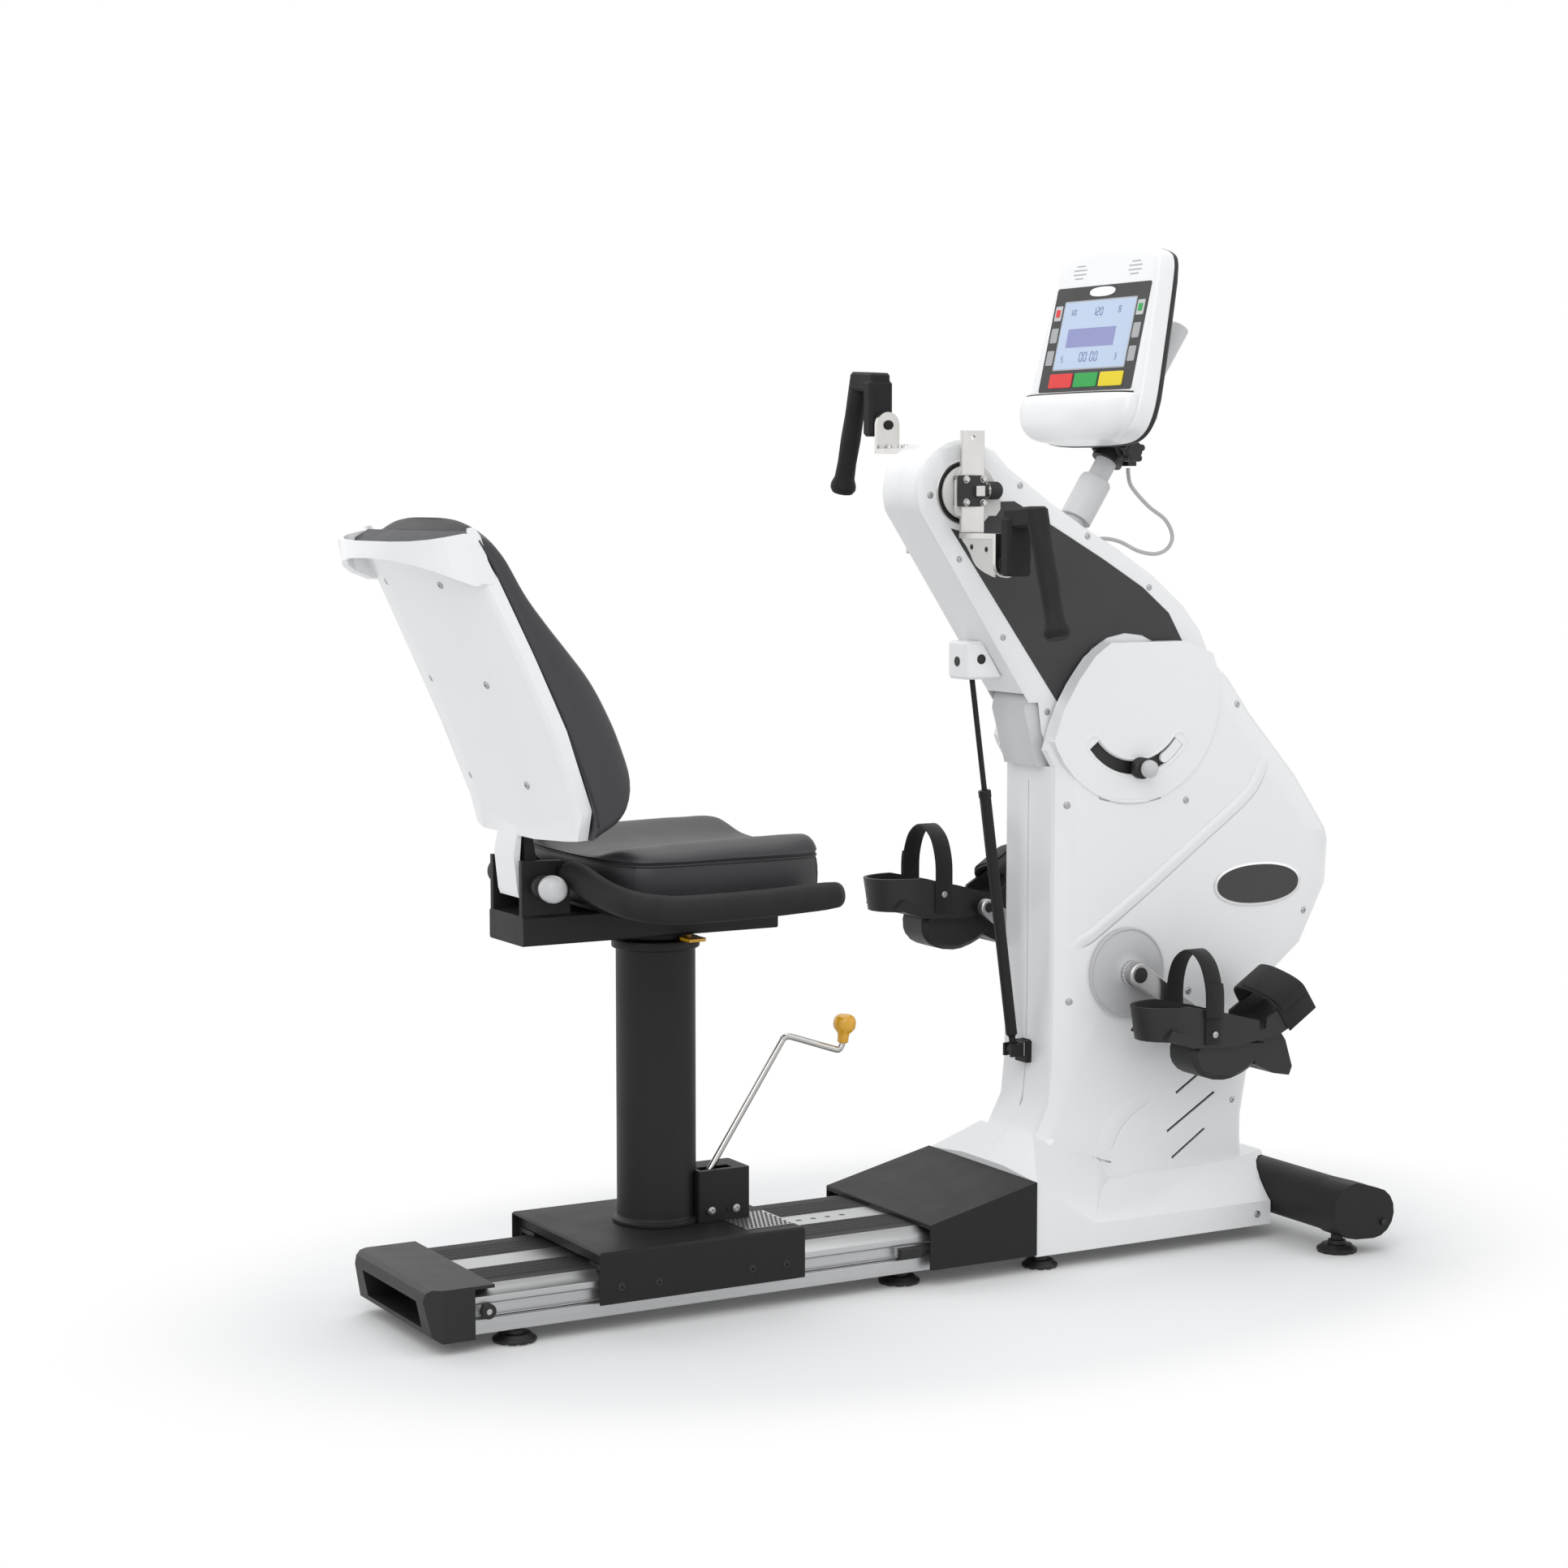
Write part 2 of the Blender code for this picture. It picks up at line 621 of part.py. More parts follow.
def belt_loop(a, ra, b, rb, low, high, thick=0.0022):
    a, b = Vector(a), Vector(b)
    gap = (b - a).length
    lean = math.degrees(math.atan2(b.y - a.y, b.x - a.x))
    wrap = math.degrees(math.acos((ra - rb) / gap))

    def ring(extra):
        big, small = 16, 10
        grow_a = 1.0 / math.cos(math.radians((360.0 - 2.0 * wrap) / big / 2.0))
        grow_b = 1.0 / math.cos(math.radians(2.0 * wrap / small / 2.0))
        loop = arc(a, (ra + extra) * grow_a, lean + wrap, lean + 360.0 - wrap, big)
        return loop + arc(b, (rb + extra) * grow_b, lean - wrap, lean + wrap, small)
    outer = ring(GAP + thick)
    inner = ring(GAP)
    count = len(outer)
    points = [lift(p, "y", low) for p in outer] + [lift(p, "y", low) for p in inner]
    points += [lift(p, "y", high) for p in outer] + [lift(p, "y", high) for p in inner]
    faces = []
    for i in range(count):
        j = (i + 1) % count
        faces += [(i, j, count + j, count + i), (2 * count + i, 2 * count + j, 3 * count + j,
                                                 3 * count + i),
                  (i, j, 2 * count + j, 2 * count + i), (count + i, count + j, 3 * count + j,
                                                         3 * count + i)]
    return solid(points, faces)


def drive():
    node("drive_belt", belt_loop(CRANK, DRIVE_R, FLYWHEEL, DRIVEN_R, 0.0515, 0.0605), "rubber")
    node("transfer_belt", belt_loop(CRANK, TRANSFER_R, PIVOT, TRANSFER_R, 0.0350, 0.0430), "rubber")
    node("arm_belt", belt_loop(PIVOT, TRANSFER_R, HUB, TRANSFER_R, 0.0230, 0.0310), "rubber")
    profile = [(0.0, -0.062), (CRANK_R, -0.062), (CRANK_R, 0.034), (TRANSFER_R, 0.034), (TRANSFER_R, 0.044),
               (0.030, 0.044), (0.030, 0.0505), (DRIVE_R, 0.0505), (DRIVE_R, 0.0615), (0.070, 0.0615),
               (0.066, 0.0545), (0.024, 0.0545), (0.022, 0.0615), (CRANK_R, 0.0615), (CRANK_R, 0.064),
               (0.0, 0.064)]
    axle = revolve(profile, (CRANK[0], 0.0, CRANK[1]), (0, 1, 0), 16)
    reach = CRANK_SIDE + CRANK_THICK
    ends = [across(CRANK, 0.0095, -reach, -0.060, 8), across(CRANK, 0.0095, 0.062, reach, 8)]
    node("crank_axle", join(axle, *ends), "bright_steel", (CRANK[0], 0.0, CRANK[1]))
    inner = clear_radius(PIVOT_R, 16)
    profile = [(inner, 0.022), (TRANSFER_R, 0.022), (TRANSFER_R, 0.044), (inner, 0.044)]
    node("transfer_pulley", revolve(profile, (PIVOT[0], 0.0, PIVOT[1]), (0, 1, 0), 16, True), "aluminium",
         (PIVOT[0], 0.0, PIVOT[1]))
    profile = [(0.0, -0.031), (0.010, -0.031), (0.010, -0.015), (FLYWHEEL_R, -0.015), (FLYWHEEL_R, 0.015),
               (0.010, 0.015), (0.010, 0.0505), (DRIVEN_R, 0.0505), (DRIVEN_R, 0.0615), (0.0, 0.0615)]
    node("flywheel", revolve(profile, (FLYWHEEL[0], 0.0, FLYWHEEL[1]), (0, 1, 0), 20), "bright_steel",
         (FLYWHEEL[0], 0.0, FLYWHEEL[1]))
    node("pivot_shaft", across(PIVOT, PIVOT_R, -0.0395, 0.0508, 16), "bright_steel")


# Foot cranks and pedals

def crank_point(sign):
    turn = -CRANK_DROP if sign < 0 else math.pi - CRANK_DROP
    return (CRANK[0] + CRANK_LENGTH * math.cos(turn), CRANK[1] + CRANK_LENGTH * math.sin(turn)), turn


def crank_arms():
    for name, sign in (("crank_arm_left", 1), ("crank_arm_right", -1)):
        (px, pz), turn = crank_point(sign)
        side = Vector((-math.sin(turn), math.cos(turn)))
        hub, tip = Vector(CRANK), Vector((px, pz))
        lean = math.degrees(turn)
        outline = arc(hub, 0.019, lean + 75, lean + 285, 10) + arc(tip, 0.014, lean - 80, lean + 80, 8)
        low, high = sorted((sign * CRANK_SIDE, sign * (CRANK_SIDE + CRANK_THICK)))
        arm = soften(prism(outline, "y", low, high), 0.002)
        profile = [(0.0, 0.003), (0.071, 0.003), (0.071, 0.005), (0.050, 0.011), (0.022, 0.013),
                   (0.020, 0.030),
                   (0.0, 0.030)]
        dish = [(radius, HOUSING_HALF + level) for radius, level in profile]
        disc = revolve(dish, (CRANK[0], 0.0, CRANK[1]), (0, sign, 0), 20)
        socket = across(CRANK, 0.0098, -0.13, 0.13, 8)
        eye = bore((px, pz), PEDAL_PIN_R, -0.14, 0.14, 12)
        node(name, cut(join(arm, disc), socket, eye), "bright_steel", (CRANK[0], 0.0, CRANK[1]))


def pedal_base(px, pz, sign):
    inner, outer = PEDAL_INNER, PEDAL_INNER + PEDAL_WIDTH

    def place(points):
        return [(px + a, pz + b) for a, b in points]
    sole = place([(-0.160, 0.004), (-0.110, -0.014), (-0.030, -0.018), (0.060, -0.006), (0.118, 0.022),
                  (0.112, 0.036), (0.055, 0.010), (-0.030, -0.004), (-0.105, 0.002), (-0.150, 0.018)])
    body = prism(sole, "y", inner, outer)
    keel = place([(-0.096, -0.010), (-0.102, -0.032), (-0.092, -0.056), (-0.066, -0.070), (-0.030, -0.074),
                  (0.004, -0.064), (0.030, -0.048), (0.050, -0.012), (0.0, -0.008)])
    keel_solid = soften(prism(keel, "y", inner + 0.016, outer - 0.010), 0.008, 1)
    fin = place([(0.020, -0.052), (0.058, -0.070), (0.090, -0.076), (0.096, -0.062), (0.082, -0.018),
                 (0.066, 0.004),
                 (0.030, -0.006)])
    fin_solid = prism(fin, "y", inner + 0.020, outer - 0.012)
    mid = (inner + outer) / 2
    heel_turns = [math.radians(a) for a in range(-90, 91, 18)]
    half = (outer - inner) / 2
    path = [(px + 0.020, inner + 0.003, 0.0), (px - 0.045, inner + 0.003, 0.0)]
    path += [(px - 0.115 - 0.062 * math.cos(a), mid + (half - 0.003) * math.sin(a),
              0.0) for a in heel_turns]
    path += [(px - 0.045, outer - 0.003, 0.0), (px + 0.020, outer - 0.003, 0.0)]
    rings = []
    for i, (x, y, _) in enumerate(path):
        before, after = path[max(i - 1, 0)], path[min(i + 1, len(path) - 1)]
        along_dir = Vector((after[0] - before[0], after[1] - before[1], 0.0)).normalized()
        out = Vector((along_dir.y, -along_dir.x, 0.0)) * 0.0028
        reach = max(0.0, min(1.0, (px + 0.02 - x) / 0.12))
        base, top = pz - 0.012 + 0.010 * reach, pz + 0.020 + 0.032 * reach
        low, high = Vector((x, y, base)), Vector((x, y, top))
        lean = Vector((0.0, 0.0, 0.0)) if reach < 1 else Vector((-0.010 * max(0.0,
                                                                              (px - 0.115 - x) / 0.062),
                                                                              0, 0))
        rings.append([low - out, low + out, high + out + lean, high - out + lean])
    cup = loft(rings)
    wing = place([(0.030, -0.006), (0.075, 0.006), (0.112, 0.028), (0.104, 0.060), (0.066, 0.040),
                  (0.035, 0.022)])
    wings = [prism(wing, "y", inner, inner + 0.0055), prism(wing, "y", outer - 0.0055, outer)]
    boss = across((px, pz), 0.014, inner - 0.003, inner + 0.060, 12)
    pin = across((px, pz), PEDAL_PIN_R, CRANK_SIDE + 0.001, inner + 0.040, 12)
    body = join(body, keel_solid, fin_solid, cup, boss, pin, *wings)
    return body if sign > 0 else mirrored(body)


def pedals():
    for side, sign in (("left", 1), ("right", -1)):
        (px, pz), _ = crank_point(sign)
        origin = (px, sign * 0.19, pz)
        node("pedal_" + side, pedal_base(px, pz, sign), "black_plastic", origin, 40.0)
        near, foot_mid = Vector((px, 0.0, pz)), (STRAP_INNER + STRAP_OUTER) / 2
        run, rise = Vector((0.838, 0.0, 0.545)), Vector((-0.545, 0.0, 0.838))
        path = [near + run * 0.097 + rise * h + Vector((0.0, sign * y, 0.0)) for y, h in
                ((STRAP_INNER, -0.050), (STRAP_INNER, -0.010), (STRAP_INNER + 0.001, 0.014),
                 (STRAP_INNER + 0.010, 0.027),
                 (foot_mid - 0.014, 0.029), (foot_mid + 0.014, 0.023), (STRAP_OUTER - 0.014, 0.014),
                 (STRAP_OUTER - 0.002, 0.004), (STRAP_OUTER, -0.008), (STRAP_OUTER, -0.044))]
        node("toe_strap_" + side, strap(smooth_path(path, 2), run, 0.062, 0.0030), "webbing", origin)
        path = [near + Vector((-0.072, sign * y, h)) for y, h in
                ((STRAP_INNER, -0.006), (STRAP_INNER, 0.040), (STRAP_INNER + 0.002, 0.080),
                 (STRAP_INNER + 0.016, 0.114),
                 (foot_mid - 0.010, 0.132), (foot_mid + 0.012, 0.132), (STRAP_OUTER - 0.016, 0.114),
                 (STRAP_OUTER - 0.002, 0.080), (STRAP_OUTER, 0.040), (STRAP_OUTER, -0.010))]
        node("ankle_strap_" + side, strap(smooth_path(path, 2), (1.0, 0.0, 0.0), 0.026, 0.0030),
             "webbing", origin)


# Tilting arm

ARM_OUTLINE = ([(0.279, 0.884), (0.262, 0.884)] + arc((0.138, 1.218), 0.085, 201.0, 80.0, 12)
               + [(0.199, 1.283), (0.224, 1.258), (0.309, 1.201), (0.372, 1.163), (0.440, 1.126),
                  (0.507, 1.084),
                  (0.565, 1.037), (0.600, 0.995), (0.615, 0.963), (0.619, 0.920)] + arc(PIVOT,
                                                                                        0.170,
                                                                                        0.0,
                                                                                        -180.0, 12)[:-1])


def shrink(outline, amount):
    area = sum(a[0] * b[1] - b[0] * a[1] for a, b in zip(outline, outline[1:] + outline[:1]))
    sign = 1.0 if area > 0 else -1.0
    out = []
    count = len(outline)
    for i in range(count):
        a, b, c = Vector(outline[i - 1]), Vector(outline[i]), Vector(outline[(i + 1) % count])
        e0, e1 = (b - a).normalized(), (c - b).normalized()
        n0, n1 = Vector((-e0.y, e0.x)) * sign, Vector((-e1.y, e1.x)) * sign
        spread = (n0 + n1)
        spread = spread / max(0.35, spread.length_squared / 2.0)
        out.append(tuple(b + spread * amount))
    return out


def arm_point(distance, offset):
    side = Vector((-ARM_AXIS.y, ARM_AXIS.x))
    return Vector(PIVOT) + ARM_AXIS * distance + side * offset


def arm_shells():
    outline = ARM_OUTLINE
    edge = 0.010
    levels = [(0.0, 0.0), (ARM_HALF - edge, 0.0), (ARM_HALF - 0.003, 0.003), (ARM_HALF, edge)]
    rings = [[(x, y, z) for x, z in shrink(outline, inset)] for y, inset in levels]
    outer = loft(rings)
    levels = [(-0.01, ARM_WALL), (ARM_HALF - edge, ARM_WALL), (ARM_HALF - ARM_WALL, edge)]
    rings = [[(x, y, z) for x, z in shrink(outline, inset)] for y, inset in levels]
    inner = loft(rings)
    rim = prism([(0.20, 0.70), (0.70, 0.70), (0.70, 0.915), (0.5955, 0.915), (0.449, 0.884),
                 (0.2675, 0.902), (0.2475, 0.902),
                 (0.20, 0.902)], "y", -0.01, ARM_HALF - ARM_WALL)
    outer = cut(outer, inner, rim)
    panel = prism(panel_outline(-0.0006), "y", ARM_HALF - 0.0012, ARM_HALF + 0.01)
    outer = cut(outer, panel)
    sleeve = rod(MAST_FOOT - MAST_DIR * 0.10, MAST_FOOT + MAST_DIR * 0.06, 0.0268, None, 16)
    outer = cut(outer, sleeve, across(HUB, 0.0135, -0.1, 0.1, 12), box((-0.5, 1.2), (-0.1, GAP / 2),
                                                                       (0.5, 1.5)))
    plain = outer.copy()
    plain.data = outer.data.copy()
    bpy.context.collection.objects.link(plain)
    lock_hole = across(lock_point(), 0.0065, 0.03, 0.1, 8)
    node("arm_shell_left", outer, "white_plastic", (PIVOT[0], 0.0, PIVOT[1]), 26.0)
    node("arm_shell_right", mirrored(cut(plain, lock_hole)), "white_plastic", (PIVOT[0], 0.0, PIVOT[1]),
         26.0)


def lock_point():
    return (PIVOT[0] + 0.004, PIVOT[1] - 0.105)


def panel_outline(inset):
    foot_arc = arc(PIVOT, 0.110, 200.0, 20.0, 10)
    front = [(0.568, 0.930), (0.562, 0.974), (0.532, 1.024), (0.480, 1.066), (0.404, 1.111),
             (0.318, 1.158), (0.232, 1.204)]
    head = arc(HUB, 0.060, -14.0, -112.0, 8)
    return shrink(foot_arc + front + head, inset)


def arm_panels():
    for side, sign in (("left", 1), ("right", -1)):
        low, high = sorted((sign * (ARM_HALF - 0.0009), sign * (ARM_HALF + 0.0012)))
        node("arm_panel_" + side, prism(panel_outline(0.0), "y", low, high), "dark_panel",
             (PIVOT[0], 0.0, PIVOT[1]))


def arm_frame():
    def bar(r0, r1, half, y0, y1):
        return prism([tuple(arm_point(r0, -half)), tuple(arm_point(r1, -half)), tuple(arm_point(r1, half)),
                      tuple(arm_point(r0, half))], "y", y0, y1)
    length = (Vector(HUB) - Vector(PIVOT)).length
    tube = bar(0.120, length, 0.022, -0.018, 0.018)
    cross_bar = bar(0.120, 0.160, 0.018, -0.036, 0.0505)
    parts = [cross_bar, bar(0.004, 0.156, 0.0172, -0.0355, -0.0293), bar(0.004, 0.156, 0.0172,
                                                                         0.0458, 0.0503),
             across(PIVOT, 0.026, -0.036, -0.029, 12), across(PIVOT, 0.026, 0.0455, 0.0505, 12),
             across(HUB, 0.026, -0.045, 0.0185, 16)]
    start = arm_point(0.218, 0.0)
    head = MAST_FOOT - MAST_DIR * (0.015 + GAP)
    parts.append(rod((start.x, 0.0, start.y), head, 0.0165, None, 12))
    lock = lock_point()
    lug = prism([(lock[0] - 0.013, lock[1] - 0.010), (lock[0] + 0.013, lock[1] - 0.010),
                 (PIVOT[0] + 0.018, PIVOT[1] - 0.01),
                 (PIVOT[0] - 0.018, PIVOT[1] - 0.01)], "y", -0.0352, -0.0296)
    parts.append(lug)
    parts.append(hull([(x, y, z) for y in (-0.016, 0.016) for x, z in
                       ((0.222, 0.995), (0.245, 0.962), (0.275, 1.005), (0.285, 1.045))]))
    body = join(tube, *parts)
    body = cut(body, bore(PIVOT, PIVOT_R, -0.06, 0.06), bore(HUB, HUB_R, -0.06, 0.06), bore(lock,
                                                                                            0.0058,
                                                                                            -0.06,
                                                                                            -0.02, 8))
    return node("arm_frame", body, "black_steel", (PIVOT[0], 0.0, PIVOT[1]))


def spring_block():
    outline = [(0.163, 0.925), (0.2332, 0.925), (0.1942, 0.985), (0.163, 0.985)]
    block = soften(prism(outline, "y", -0.028, 0.028), 0.004, 1)
    hollow = box((0.1695, 0.2065), (-0.0205, 0.0205), (0.90, 0.975))
    body = cut(block, hollow)
    return node("spring_block", body, "white_plastic", (PIVOT[0], 0.0, PIVOT[1]))


def gas_spring():
    foot_at, head = Vector((SPRING_FOOT[0], 0.0, SPRING_FOOT[1])), Vector((SPRING_HEAD[0],
                                                                           0.0, SPRING_HEAD[1]))
    line = (head - foot_at).normalized()
    eye = cut(across(SPRING_FOOT, 0.0105, -0.0060, 0.0060, 12), bore(SPRING_FOOT, 0.0045, -0.02, 0.02, 8))
    barrel = revolve([(0.0, 0.0085), (0.0055, 0.0085), (0.0055, 0.022), (0.0095, 0.026), (0.0095, 0.414),
                      (0.0105, 0.416),
                      (0.0105, 0.426), (0.0050, 0.428), (0.0050, 0.050), (0.0, 0.048)], foot_at, line, 12)
    node("gas_cylinder", join(eye, barrel), "black_plastic", tuple(foot_at))
    length = (head - foot_at).length
    offset = Vector((-0.0035, 0.0, 0.0015))
    shaft = rod(foot_at + line * 0.180, foot_at + line * (length - 0.004), 0.0045, None, 8)
    knuckle = soften(across((SPRING_HEAD[0], SPRING_HEAD[1]), 0.0078, -0.007, 0.007, 12), 0.001)
    bolt = across(SPRING_HEAD, 0.0035, -0.0150, 0.0150, 8)
    node("gas_rod", join(shaft, knuckle, bolt), "black_steel", tuple(foot_at))


def arm_lock_knob():
    x, z = lock_point()
    collar = RAISED_SIDE + 0.0007
    shape = [(0.0170, 0.0), (0.0170, 0.0125), (0.0120, 0.0155), (0.0070, 0.0165), (0.0070, 0.0175),
             (0.0125, 0.0215),
             (0.0145, 0.0280), (0.0125, 0.0350), (0.0070, 0.0390), (0.0, 0.0400)]
    profile = [(0.0, -0.026), (0.0058, -0.026), (0.0058, -collar)] + [(r, -collar - level) for r,
                                                                      level in shape]
    knob = revolve(profile, (x, 0.0, z), (0, 1, 0), 12)
    return node("arm_lock_knob", knob, "black_plastic", (x, 0.0, z))


# Hand cranks

def hand_pin(sign):
    return (HUB[0], HUB[1] + (HAND_RADIUS if sign > 0 else -HAND_RADIUS))


def hand_axle():
    profile = [(0.0, -0.0735), (HUB_R, -0.0735), (HUB_R, 0.0215), (TRANSFER_R, 0.0215), (TRANSFER_R,
                                                                                         0.0325),
                                                                                         (HUB_R, 0.0325),
               (HUB_R, 0.0735), (0.0, 0.0735)]
    return node("hand_crank_axle", revolve(profile, (HUB[0], 0.0, HUB[1]), (0, 1, 0), 16), "bright_steel",
                (HUB[0], 0.0, HUB[1]))


def hand_crank(side, sign):
    x, z = HUB
    plate = soften(box((x - 0.021, x + 0.021), (0.0755, 0.0825), (z - 0.062, z + 0.096)), 0.0012, 1, None)
    foot_plate = box((x - 0.021, x + 0.021), (0.0755, 0.1780), (z - 0.070, z - 0.062))
    bearing = [(x - 0.021, z - 0.0625)] + arc((x, z - HAND_RADIUS),
                                              0.021, 180.0, 360.0, 12) + [(x + 0.021, z - 0.0625)]
    end_plate = prism(bearing, "y", 0.1700, 0.1780)
    cap = revolve([(0.0, 0.0574), (0.041, 0.0574), (0.041, 0.0600), (0.037, 0.0640), (0.026, 0.0655),
                   (0.026, 0.0710),
                   (0.0, 0.0710)], (x, 0.0, z), (0, 1, 0), 20)
    block = soften(box((x - 0.030, x + 0.012), (0.0700, 0.1000), (z - 0.021, z + 0.026)), 0.002)
    plunger = revolve([(0.0, 0.0), (0.010, 0.0), (0.010, 0.008), (0.0125, 0.010), (0.0125, 0.030),
                       (0.010, 0.032), (0.0, 0.032)],
                      (x + 0.010, 0.089, z + 0.003), (1, 0, 0), 12)
    nut = soften(box((x - 0.010, x + 0.006), (0.098, 0.108), (z - 0.006, z + 0.010)), 0.001)
    bolts = [across((x + a, z + b), 0.0042, 0.0985, 0.1045, 8) for a, b in
             ((-0.024, 0.020), (-0.024, -0.015), (0.007, 0.021), (0.007, -0.016))]
    bolts += [rod((x + a, y, z - 0.068), (x + a, y, z - 0.076), 0.004, None, 8) for a in (-0.010,
                                                                                          0.010) for y in (0.100, 0.150)]
    body = join(plate, foot_plate, end_plate, cap, block, plunger, nut, *bolts)
    holes = [bore((x, z - HAND_RADIUS), HAND_PIN_R, 0.15, 0.20, 12), across((x, z + 0.084),
                                                                            0.0042, 0.05, 0.11, 8),
             across(HUB, clear_radius(HUB_R, 16, GAP), 0.05, 0.0738, 16)]
    body = cut(body, *holes)
    if sign < 0:
        body = mirrored(body)
    else:
        body = turned(body, "Y", math.pi, (x, 0.0, z))
    return node("hand_crank_" + side, body, "bright_steel", (x, 0.0, z))


def handle(side, sign):
    x, z = hand_pin(sign)
    pin = across((x, z), HAND_PIN_R, 0.166, 0.200, 12)
    washer = across((x, z), 0.013, 0.1785, 0.191, 12)
    block = soften(box((x - 0.022, x + 0.022), (0.190, 0.216), (z - 0.018, z + 0.072)), 0.005, 1)
    bridge = soften(hull([(x + a, 0.192, z + b) for a in (-0.018, 0.018) for b in (0.052, 0.084)]
                         + [(x + a, 0.264, z + b) for a in (-0.017, 0.017) for b in (0.058, 0.088)]),
                         0.004, 1)
    top, low = Vector((x, 0.256, z + 0.084)), Vector((x, 0.316, z - 0.108))
    line = (low - top).normalized()
    length = (low - top).length
    radii = [(0.0, 0.0), (0.014, 0.0), (0.0175, 0.004), (0.0170, 0.030), (0.0160, 0.070),
             (0.0168, 0.110), (0.0158, 0.150),
             (0.0170, 0.176), (0.0215, 0.188), (0.0215, 0.194), (0.017, length), (0.0, length)]
    grip = revolve(radii, top, line, 12)
    body = join(block, bridge, grip, washer, pin)
    if sign < 0:
        body = mirrored(body)
    return node("handle_" + side, body, "rubber", (x, sign * 0.190, z))


# Console

def mast():
    foot_at = MAST_FOOT - MAST_DIR * 0.015
    sleeve_top = (Vector((0.437, 0.0, 1.259)) - MAST_FOOT).length
    profile = [(0.0, 0.0), (0.0260, 0.0), (0.0260, sleeve_top + 0.010), (0.0240, sleeve_top + 0.014),
               (MAST_R, sleeve_top + 0.015),
               (MAST_R, (MAST_HEAD - foot_at).length), (0.0, (MAST_HEAD - foot_at).length)]
    body = revolve(profile, foot_at, MAST_DIR, 16)
    top = (MAST_HEAD - foot_at).length
    mouth = rod(MAST_HEAD - MAST_DIR * 0.10, MAST_HEAD + MAST_DIR * 0.01, 0.0150, None, 16)
    return node("console_mast", cut(body, mouth), "white_steel", tuple(MAST_FOOT))


def face_x(level):
    return 0.422 + (level - 1.46) * math.tan(FACE_LEAN)


def console_clamp():
    centre = Vector((TILT[0], 0.0, TILT[1]))
    body = rod(centre - MAST_DIR * 0.020, centre + MAST_DIR * 0.022, 0.0258, None, 16)
    stubs = across(TILT, 0.0060, -0.0450, 0.0350, 8)
    channel = rod(centre - MAST_DIR * 0.10, centre + MAST_DIR * 0.10, MAST_R + GAP, None, 16)
    ear = box((TILT[0] + 0.018, TILT[0] + 0.034), (-0.020, 0.020), (TILT[1] - 0.024, TILT[1] - 0.002))
    return node("console_clamp", cut(join(body, stubs, ear), channel), "black_plastic", tuple(centre))


CONSOLE_OUTLINE = [(0.0, 1.298), (0.070, 1.299), (0.118, 1.304), (0.144, 1.318), (0.155, 1.340),
                   (0.158, 1.372),
                   (0.153, 1.430), (0.146, 1.500), (0.139, 1.560), (0.133, 1.585), (0.120, 1.599),
                   (0.090, 1.608),
                   (0.045, 1.613), (0.0, 1.614)]


def console_ring(depth, inset):
    ring = []
    side = [(y, z) for y, z in CONSOLE_OUTLINE]
    full = side + [(-y, z) for y, z in reversed(side[1:-1])]
    for y, z in shrink(full, inset):
        ring.append((face_x(z) + depth, y, z - depth * math.tan(FACE_LEAN)))
    return ring


def console_front():
    outer = loft([console_ring(-0.002, 0.006), console_ring(0.002, 0.0015), console_ring(0.010, 0.0),
                  console_ring(0.028, 0.0)])
    chin_rows = []
    for step in range(7):
        t = step / 6.0
        z = 1.292 + 0.062 * t
        bulge = 0.034 * math.sin(math.pi * (0.12 + 0.80 * (1.0 - t)) / 1.04)
        half = 0.075 + 0.077 * (1.0 - (1.0 - t) ** 3)
        chin_rows.append([(face_x(z) + 0.020, -half, z), (face_x(z) - bulge * 0.35, -half, z),
                          (face_x(z) - bulge * 0.85, -half * 0.72, z), (face_x(z) - bulge, 0.0, z),
                          (face_x(z) - bulge * 0.85, half * 0.72, z), (face_x(z) - bulge * 0.35, half, z),
                          (face_x(z) + 0.020, half, z)])
    chin = loft(chin_rows)
    outer = join(outer, chin)
    inner = loft([console_ring(0.001, 0.0065), console_ring(0.060, 0.0035)])
    outer = cut(outer, inner)
    ledge = box((face_x(1.352) - 0.060, face_x(1.352) + 0.001), (-0.146, 0.146), (1.3505, 1.3535))
    return node("console_front", cut(outer, ledge), "white_plastic", (TILT[0], 0.0, TILT[1]), 30.0)


def console_back():
    outer = loft([console_ring(0.0283, 0.0), console_ring(0.036, 0.003), console_ring(0.046, 0.014),
                  console_ring(0.052, 0.034)])
    inner = loft([console_ring(0.010, 0.0032), console_ring(0.036, 0.0062), console_ring(0.0490, 0.036)])
    body = cut(outer, inner)
    ears = []
    for sign in (-1, 1):
        y0, y1 = sorted((sign * 0.0290, sign * 0.0340))
        outline = arc(TILT, 0.012, 190.0, 400.0, 10) + [(0.4745, 1.330), (0.4745, 1.3475),
                                                        (0.4420, 1.3480), (0.4240, 1.3120)]
        ears.append(prism(outline, "y", y0, y1))
    for ear in ears:
        cut(ear, loft([console_ring(-0.03, 0.0032), console_ring(0.036, 0.0055), console_ring(0.0465,
                                                                                              0.030)]))
    body = join(body, *ears)
    body = cut(body, bore(TILT, 0.0060, -0.06, 0.06, 12),
               hull([(TILT[0] + a, y, TILT[1] + b) for y in (-0.0288, 0.0288) for a, b in
                     ((-0.040, -0.020), (0.030, -0.035), (0.040, 0.030), (0.0, 0.0335), (-0.040, 0.006))]))
    return node("console_back", body, "dark_panel", (TILT[0], 0.0, TILT[1]), 30.0)


